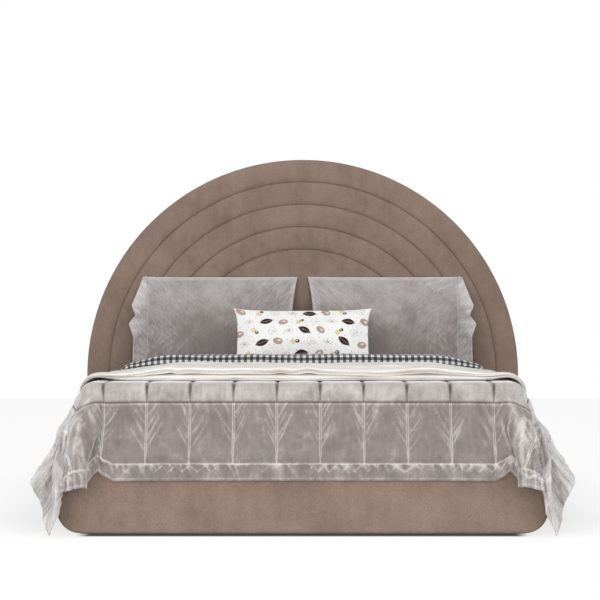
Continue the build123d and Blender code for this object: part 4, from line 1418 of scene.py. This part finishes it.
def makeQuilt():
    half, front, back = quiltSpan()
    grid = shapedQuilt(fallQuilt())
    print("quilt fallen", grid.shape)
    across, along = seamPlaces()
    us = spacedLines(across, -half, half, *quilt["acrossCells"])
    hanging = spacedLines(along, front, along[1] + 0.02, *quilt["hangingCells"])
    lying = spacedLines(along, along[1] + 0.02, back, *quilt["lyingCells"])
    vs = np.concatenate([hanging[:-1], lying])
    surface = notchedHem(sampled(grid, us, vs), us, vs)
    normals = gridNormals(surface)
    height, napAndPaintedLight = quiltRelief(us, vs, normals[..., 2])
    points = surface + normals * (height - 0.001)[..., None]
    for block in quiltBlocks():
        distance, way = blockDistance(points, block)
        points += way * np.maximum(quilt["gap"] * 0.8 - distance, 0)[..., None]
    flat = np.stack(np.meshgrid(us, vs, indexing="ij"), axis=-1)
    points, flat, napAndPaintedLight = withHem(points, gridNormals(points), flat, napAndPaintedLight)
    points[..., 2] = np.maximum(points[..., 2], 0.003)
    obj = gridPiece("quiltCloth", points, flat, napAndPaintedLight)
    finishPiece(obj, "quilt_velvet", ["quilt"])
    print("quilt has", len(obj.data.polygons), "faces")
    return grid


quiltGrid = makeQuilt()
print("quilt made")

# Folded pieces across the bed follow the quilt's surface, smoothed, at a height above it
bedding = {
    "blanketFront": -0.856,
    "blanketWidth": 0.599,
    "blanketLayer": 0.024,
    "blanketDrop": 0.125,
    "slitDepth": 0.05,  # of the slit between its two layers, behind its front edge
    "thinning": 0.74,  # where a folded piece hangs
    "blanketThins": (0.46, 0.84),  # from and to these places across the bed
    "foldThins": (0.6, 0.86),
    "blanketLift": 0.012,  # of its front edge, by the bed's two corners
    "foldFront": 0.312,
    "foldBack": 0.545,
    "foldHeight": 0.058,
    "foldDrop": 0.12,
    "foldRound": 0.024,
    "ginghamDrop": 0.15,
    "ginghamRound": 0.026,
    "ginghamThick": 0.0018,
    "clear": 0.009,
}


def smoothed(grid, rounds):
    grid = grid.copy()
    for _ in range(rounds):
        grid[:, 1:-1] += 0.5 * (grid[:, :-2] + grid[:, 2:] - 2 * grid[:, 1:-1]) * 0.5
    return grid


# Maps a section (place along the bed, height over the quilt) at each place across the bed
def acrossBed(grid, us, places, heights):
    _, front, back = quiltSpan()
    soft = smoothed(grid, 60)
    vs = np.linspace(front, back, 160)
    table = sampled(soft, us, vs)
    normals = gridNormals(table)
    share = np.clip((places - front) / (back - front), 0, 1) * (len(vs) - 1)
    i = np.clip(np.floor(share).astype(int), 0, len(vs) - 2)
    t = (share - i)[..., None]
    rows = np.arange(len(us))[:, None]
    ground = table[rows, i] * (1 - t) + table[rows, i + 1] * t
    out = normals[rows, i] * (1 - t) + normals[rows, i + 1] * t
    out /= np.linalg.norm(out, axis=-1, keepdims=True)
    return ground + out * heights[..., None]


# Share of a folded piece's thickness at a place across the bed
def thinnedAt(u, span):
    return 1 - bedding["thinning"] * ramped(np.abs(u), *span)


# Distance from the bed's middle along a row of points, measured on the surface
def widthAlong(row):
    steps = np.linalg.norm(np.diff(row, axis=0), axis=1)
    length = np.concatenate([[0], np.cumsum(steps)])
    return (length - length[-1] / 2)[:, None]


# Places across the bed for a folded piece that hangs down by a drop at each side
def placesAcross(drop, count):
    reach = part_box("fitted_sheet")[1].x + drop - 0.02
    return np.linspace(-reach, reach, count)


# Repeats each value of a section's points at every place across the bed
def repeated(section, us):
    return [np.array(values)[None] + 0 * us[:, None] for values in zip(*section)]


def sectionLength(places, heights):
    return np.concatenate([[0], np.cumsum(np.hypot(np.diff(places), np.diff(heights)))])


# Merges a folded piece's ends and closes them
def closeEnds(obj):
    bm = bmesh.new()
    bm.from_mesh(obj.data)
    bmesh.ops.remove_doubles(bm, verts=bm.verts, dist=0.00005)
    bmesh.ops.holes_fill(bm, edges=[e for e in bm.edges if e.is_boundary])
    bmesh.ops.recalc_face_normals(bm, faces=bm.faces)
    bm.to_mesh(obj.data)
    bm.free()


def thickened(obj, thickness, offset=-1):
    solid = obj.modifiers.new("thickness", "SOLIDIFY")
    solid.thickness = thickness
    solid.offset = offset


def makeBlanket():
    us = placesAcross(bedding["blanketDrop"], 190)
    layer = bedding["blanketLayer"]
    front = bedding["blanketFront"]
    back = front + bedding["blanketWidth"]
    radius = layer / 2
    noses = ((radius, 0.0), (radius + layer + 0.001, -0.004))
    section = [(v, 0.0, 0) for v in np.linspace(back - 0.02, front + radius, 12)]  # place, height, layer
    for index, (middle, shift) in enumerate(noses):
        for angle in np.linspace(-90, 90, 9):
            turn = math.radians(angle)
            behind = radius * (1 - math.cos(turn) ** 0.5)
            section.append((front + shift + behind, middle + radius * math.sin(turn), index + 1))
        if index == 0:
            slit = front + bedding["slitDepth"]
            section += [(slit, layer - 0.0005, 3), (slit + 0.004, layer + 0.0006, 3)]
            section.append((slit, layer + 0.0015, 3))
    top = 2 * layer + 0.002
    section += [(v, top, 2) for v in np.linspace(front + radius + 0.008, back - radius, 64)]
    for turn in np.linspace(0.3, 1.57, 5):
        section.append((back - radius + radius * math.sin(turn), top - radius + radius * math.cos(turn), 2))
    section += [(back, radius, 2), (back - 0.02, 0.0, 0)]
    place, height, part = repeated(section, us)
    u = us[:, None]
    upper = part == 2
    sway = 0.006 * layeredNoise(u * 3 + 20, 0 * u + 3, 51)
    sway = sway + 0.003 * layeredNoise(u * 11 + 20, height * 60 + 3, 52)
    lift = np.clip(layeredNoise(u * 8 + 60, 0 * u + 9, 55) - 0.35, 0, 0.5) * 0.014
    forward = 1 - ramped(place, front + 0.05, front + 0.2)
    place = place + sway * forward + np.where(upper, 0.004 * softNoise(u * 6 + 9, 0 * u, 57) * forward, 0)
    folds = 0.008 * layeredNoise(u * 4, place * 13 + 9, 59)
    height = height + np.where(upper, lift * forward, 0) + np.where(upper, folds, 0)
    height = height * thinnedAt(u, bedding["blanketThins"])
    height = height + bedding["blanketLift"] * forward * bell(np.abs(u) - 0.77, 0.06)
    points = acrossBed(quiltGrid, us, place, np.maximum(height, 0) + bedding["clear"])
    length = sectionLength(place[0], height[0])
    flat = np.stack([widthAlong(points[:, 60]) + 0 * place, length[None] + 0 * place], axis=-1)
    obj = gridPiece("creamBlanketKnit", points, flat)
    closeEnds(obj)
    finishPiece(obj, "cream_knit", ["cream_blanket"])


def foldSection(front, back, low, high, radius, count):
    points = [(v, low) for v in np.linspace(back - radius, front + radius, count)]
    points += arc((front + radius, low + radius), radius, 270, 180, 8)[1:]
    points += arc((front + radius, high - radius), radius, 180, 90, 8)[1:]
    points += [(v, high) for v in np.linspace(front + radius, back - radius, count)[1:]]
    points += arc((back - radius, high - radius), radius, 90, 0, 8)[1:]
    points += arc((back - radius, low + radius), radius, 0, -90, 8)[1:]
    return points


def makeQuiltFold():
    us = placesAcross(bedding["foldDrop"], 120)
    u = us[:, None]
    top = bedding["foldHeight"] - 0.004
    section = foldSection(bedding["foldFront"], bedding["foldBack"], 0.0, top, bedding["foldRound"], 14)
    place, height = repeated(section, us)
    height = height + np.where(height > 0.03, 0.002 * layeredNoise(u * 5, place * 12, 71), 0)
    height = height * thinnedAt(u, bedding["foldThins"])
    points = acrossBed(quiltGrid, us, place, height + bedding["clear"])
    flat = np.stack([u + 0 * place, place], axis=-1)
    obj = gridPiece("quiltHeadFold", points, flat)
    closeEnds(obj)
    finishPiece(obj, "quilt_velvet")


def makeGingham():
    us = placesAcross(bedding["ginghamDrop"], 200)
    u = us[:, None]
    front = bedding["foldFront"] - 0.008
    back = bedding["foldBack"] + 0.012
    top = bedding["foldHeight"] + 0.004
    radius = bedding["ginghamRound"]
    section = [(front + 0.002, 0.0), (front, 0.012)]
    section += arc((front + radius, top - radius), radius, 180, 90, 10)
    section += [(v, top) for v in np.linspace(front + radius, back - radius, 30)[1:]]
    section += arc((back - radius, top - radius), radius, 90, 0, 8)[1:]
    section.append((back, 0.004))
    place, height = repeated(section, us)
    length = sectionLength(place[0], height[0])
    height = height + ramped(height, 0.02, 0.05) * 0.003 * layeredNoise(u * 5, place * 12, 71)
    height = height * thinnedAt(u, bedding["foldThins"])
    forward = 1 - ramped(place, front, front + 0.1)
    place = place + 0.004 * layeredNoise(u * 3 + 7, 0 * place + 2, 73) * forward
    points = acrossBed(quiltGrid, us, place, height + bedding["clear"])
    wide = widthAlong(points[:, 20])
    flat = np.stack([wide + 0 * place, length[None] + 0 * place], axis=-1)
    obj = gridPiece("ginghamCloth", points, flat)
    thickened(obj, bedding["ginghamThick"], 1)
    finishPiece(obj, "gingham", ["gingham_sheet"])


makeQuiltFold()
makeGingham()
makeBlanket()
print("folded bedding made")

# Pillows and cushion: two flat panels sewn at the edge and blown up like a filled case
pillow = {
    "width": 0.768,
    "height": 0.505,
    "thickness": 0.17,
    "lean": 25,
    "cell": 0.0125,
    "sag": (0.028, 0.01, 0.003),  # how far the inner side, outer side and top are drawn in at their middles
    "sagPower": 2,
    "outerLow": 0.022,  # how far the outer side's lower end is drawn in
    "frames": 20,
    "pressure": 5,
    "creases": 16,
    "depth": 0.002,
}
lumbar = {
    "width": 0.67,
    "height": 0.33,
    "thickness": 0.13,
    "lean": 25,
    "cell": 0.0125,
    "sag": (0.022, 0.022, 0.014),
    "sagPower": 4,
    "outerLow": 0.0,
    "frames": 18,
    "pressure": 5,
    "creases": 7,
    "depth": 0.0014,
}
fineCell = 0.0037
filling = {
    "quality": 6,
    "mass": 0.3,
    "tension_stiffness": 40,
    "compression_stiffness": 20,
    "shear_stiffness": 10,
    "bending_stiffness": 0.15,
    "air_damping": 3,
    "use_pressure": True,
}
cushionCrease = {
    "angle": (0.05, 1.5),
    "start": (0.0, 0.12),
    "reach": (0.04, 0.14),
    "wide": (0.0032, 0.0055),
    "shift": (-0.06, 0.06),
    "strength": (0.3, 1),
}
caseEnd = {
    "places": (0.0, 0.32, 0.40, 0.53, 0.655, 0.9, 1.0),  # shares of its edge, from the top
    "outline": (0.006, 0.07, 0.056, 0.084, 0.066, 0.06, 0.058),  # how far it stands out there
    "swing": (0.0, 0.019, -0.016, 0.021, -0.016, 0.006, 0.0),  # how far its folds swing forward
    "tucked": 0.012,  # how far it starts inside the pillow
    "thickness": 0.0016,
}


# Two panels in one mesh, with each point's column, row and side
def sewnPanels(name, kind, cell):
    countX = int(kind["width"] / cell)
    countY = int(kind["height"] / cell)
    bm = bmesh.new()
    bmesh.ops.create_grid(bm, x_segments=countX, y_segments=countY, size=1)
    copied = bmesh.ops.duplicate(bm, geom=bm.verts[:] + bm.edges[:] + bm.faces[:])["geom"]
    bmesh.ops.reverse_faces(bm, faces=only(bmesh.types.BMFace, copied))
    behind = set(only(bmesh.types.BMVert, copied))
    for v in bm.verts:
        dome = max(0.0, (1 - v.co.x**2) * (1 - v.co.y**2)) ** 0.5
        v.co.z = 0.02 * dome * (-1 if v in behind else 1)
    bmesh.ops.remove_doubles(bm, verts=bm.verts, dist=1e-5)
    obj = pieceFrom(name, bm)
    points = readPoints(obj.data)
    column = np.rint((points[:, 0] + 1) / 2 * countX).astype(int)
    row = np.rint((points[:, 1] + 1) / 2 * countY).astype(int)
    writePoints(obj.data, points * np.array([kind["width"] / 2, kind["height"] / 2, 1]))
    return obj, column, row, points[:, 2] < 0


def blownUp(obj, kind):
    cloth = obj.modifiers.new("filling", "CLOTH")
    for key, value in filling.items():
        setattr(cloth.settings, key, value)
    cloth.settings.uniform_pressure_force = kind["pressure"]
    cloth.settings.effector_weights.gravity = 0
    cloth.collision_settings.use_collision = False
    cloth.point_cache.frame_start = 1
    cloth.point_cache.frame_end = kind["frames"]
    for number in range(1, kind["frames"] + 1):
        scene.frame_set(number)
    done = obj.evaluated_get(bpy.context.evaluated_depsgraph_get())
    points = readPoints(done.data)
    scene.frame_set(1)
    return points


# Keeps the height of a blown panel over a case with a clean outline
def straightened(panel, kind):
    x = np.linspace(-1, 1, panel.shape[0])[:, None]
    y = np.linspace(-1, 1, panel.shape[1])[None]
    inner, outer, top = kind["sag"]
    side = kind["width"] / 2 - np.where(x < 0, inner, outer) * (1 - np.abs(y) ** kind["sagPower"])
    side = side - np.where(x < 0, 0, kind["outerLow"]) * (1 - y) / 2
    tall = kind["height"] / 2 - top * (1 - np.abs(x) ** kind["sagPower"])
    return np.stack([x * side, y * tall, panel[..., 2]], axis=-1)


def blownPanels(kind):
    obj, column, row, back = sewnPanels("fillingShape", kind, kind["cell"])
    points = blownUp(obj, kind)
    bpy.data.objects.remove(obj)
    panels = []
    rim = (column == 0) | (row == 0) | (column == column.max()) | (row == row.max())
    for chosen in (~back, back):
        panel = np.zeros((column.max() + 1, row.max() + 1, 3))
        use = chosen | rim
        panel[column[use], row[use]] = points[use]
        panels.append(panel)
    deep = panels[0][..., 2].max() - panels[1][..., 2].min()
    for panel in panels:
        panel[..., 2] *= kind["thickness"] / deep
    return [straightened(panel, kind) for panel in panels]


# Short creases that fan in from the corners and the sides
def cushionCreases(x, y, kind, seed):
    rng = np.random.default_rng(seed)
    total = np.zeros(x.shape)
    for cornerX in (-1, 1):
        for cornerY in (-1, 1):
            for _ in range(kind["creases"]):
                angle = rng.uniform(*cushionCrease["angle"])
                start = rng.uniform(*cushionCrease["start"])
                reach = start + rng.uniform(*cushionCrease["reach"])
                wide = rng.uniform(*cushionCrease["wide"])
                shift = rng.uniform(*cushionCrease["shift"])
                dx = kind["width"] / 2 * (1 - cornerX * x)
                dy = kind["height"] / 2 * (1 - cornerY * y)
                ahead = dx * math.cos(angle) + dy * math.sin(angle)
                aside = -dx * math.sin(angle) + dy * math.cos(angle) - shift
                fade = ramped(ahead, start, start + 0.03) * (1 - ramped(ahead, reach, reach + 0.04))
                total += rng.uniform(*cushionCrease["strength"]) * fade * bell(aside, wide)
    return np.minimum(total, 1.4)


def leaned(points, lean):
    turn = math.radians(lean)
    up = np.array([0, math.sin(turn), math.cos(turn)])
    out = np.array([0, -math.cos(turn), math.sin(turn)])
    return points[:, :1] * np.array([1, 0, 0]) + points[:, 1:2] * up + points[:, 2:] * out


def makeCushion(name, kind, panels, place, slotName, node, seed, flip=1):
    obj, column, row, back = sewnPanels(name, kind, fineCell)
    countX, countY = column.max() + 1, row.max() + 1
    x, y = np.meshgrid(np.linspace(-1, 1, countX), np.linspace(-1, 1, countY), indexing="ij")
    edge = np.minimum((1 - np.abs(x)) * kind["width"], (1 - np.abs(y)) * kind["height"]) / 2
    local = np.zeros((len(column), 3))
    napsAndPaintedLight = np.zeros(len(column))
    for chosen, panel, way in ((~back, panels[0], 1), (back, panels[1], -1)):
        fine = refined(panel, countX, countY)
        crease = cushionCreases(x, y, kind, seed + way)
        sag = layeredNoise(x * kind["width"] * 4 + seed, y * kind["height"] * 4 + 9, seed + way)
        amount = (crease + sag * 1.1) * kind["depth"] * ramped(edge, 0, 0.02)
        fine = fine + gridNormals(fine) * (amount * way)[..., None]
        # Painted highlights at the edges and on the creases and swells
        napAndPaintedLight = 0.57 + crease * 0.1 + 0.25 * (1 - ramped(edge, 0.0, 0.03)) + sag * 0.08
        local[chosen] = fine[column[chosen], row[chosen]]
        napsAndPaintedLight[chosen] = napAndPaintedLight[column[chosen], row[chosen]]
    world = leaned(local * np.array([flip, 1, 1]), kind["lean"])
    world += np.array(place(world.min(axis=0), world.max(axis=0)))
    writePoints(obj.data, world)
    if flip < 0:
        obj.data.flip_normals()
    flat = np.column_stack([x[column, row] * kind["width"] / 2 * flip, y[column, row] * kind["height"] / 2])
    paintCloth(obj.data, flat, napsAndPaintedLight)
    finishPiece(obj, slotName, [node])
    return (world.max(axis=0) + world.min(axis=0)) / 2


# The loose end of a pillowcase: two layers that hang in sharp folds past the filling
def makeCaseEnd(name, flip, shift):
    countY, countX = 90, 22
    s = np.linspace(0, 1, countY)[:, None]
    t = np.linspace(0, 1, countX)[None]
    tucked = caseEnd["tucked"]
    body = pillow["width"] / 2 - pillow["outerLow"] * s - pillow["sag"][1] * 4 * s * (1 - s)
    reach = np.interp(s[:, 0], caseEnd["places"], caseEnd["outline"])[:, None]
    y = pillow["height"] / 2 * (0.985 - 1.9 * s) - 0.012 * t * ramped(s, 0, 0.3)
    for label, layer in (("Front", 1), ("Back", -1)):
        fold = np.interp(s[:, 0] + 0.03 * layer - 0.03, caseEnd["places"], caseEnd["swing"])[:, None]
        z = layer * (0.014 * (1 - t) + 0.003) + fold * t**0.8 + 0.0005 * np.sin(s * 60 + t * 5)
        x = body - tucked + (reach * (1 if layer > 0 else 0.93) + tucked) * t
        local = np.stack([x + 0 * z, y + 0 * z, z], axis=-1)
        world = leaned((local * np.array([flip, 1, 1])).reshape(-1, 3), pillow["lean"]) + shift
        flat = np.stack([x + 0 * z, y + 0 * z], axis=-1)
        # Painted light and shade: folds that swing forward are lighter, those that swing back darker, and the
        # outer edge is lighter
        napAndPaintedLight = 0.74 + fold * 13 * t + 0.04 * np.sin(s * 60 + t * 5) + 0.22 * ramped(t, 0.9, 1)
        obj = gridPiece(f"{name}{label}", world.reshape(local.shape), flat, napAndPaintedLight)
        thickened(obj, caseEnd["thickness"])
        finishPiece(obj, "pillow_velvet")


def makePillows():
    low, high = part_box("pillow_right")
    inner = low.x
    panels = blownPanels(pillow)

    def placeRight(least, most):
        return inner - least[0], high.y - most[1], low.z - least[2]

    def placeLeft(least, most):
        return -inner - most[0], high.y - most[1], low.z - least[2]

    right = makeCushion("pillowRight", pillow, panels, placeRight, "pillow_velvet", "pillow_right", 81)
    left = makeCushion("pillowLeft", pillow, panels, placeLeft, "pillow_velvet", "pillow_left", 87, -1)
    makeCaseEnd("caseEndRight", 1, right)
    makeCaseEnd("caseEndLeft", -1, left)


def makeLumbar():
    low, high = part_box("lumbar_cushion")

    def place(least, most):
        return 0, (high.y + low.y - most[1] - least[1]) / 2, low.z - least[2]

    makeCushion("lumbarCushion", lumbar, blownPanels(lumbar), place, "lumbar_print", "lumbar_cushion", 93)


makePillows()
makeLumbar()
print("pillows and cushion made")
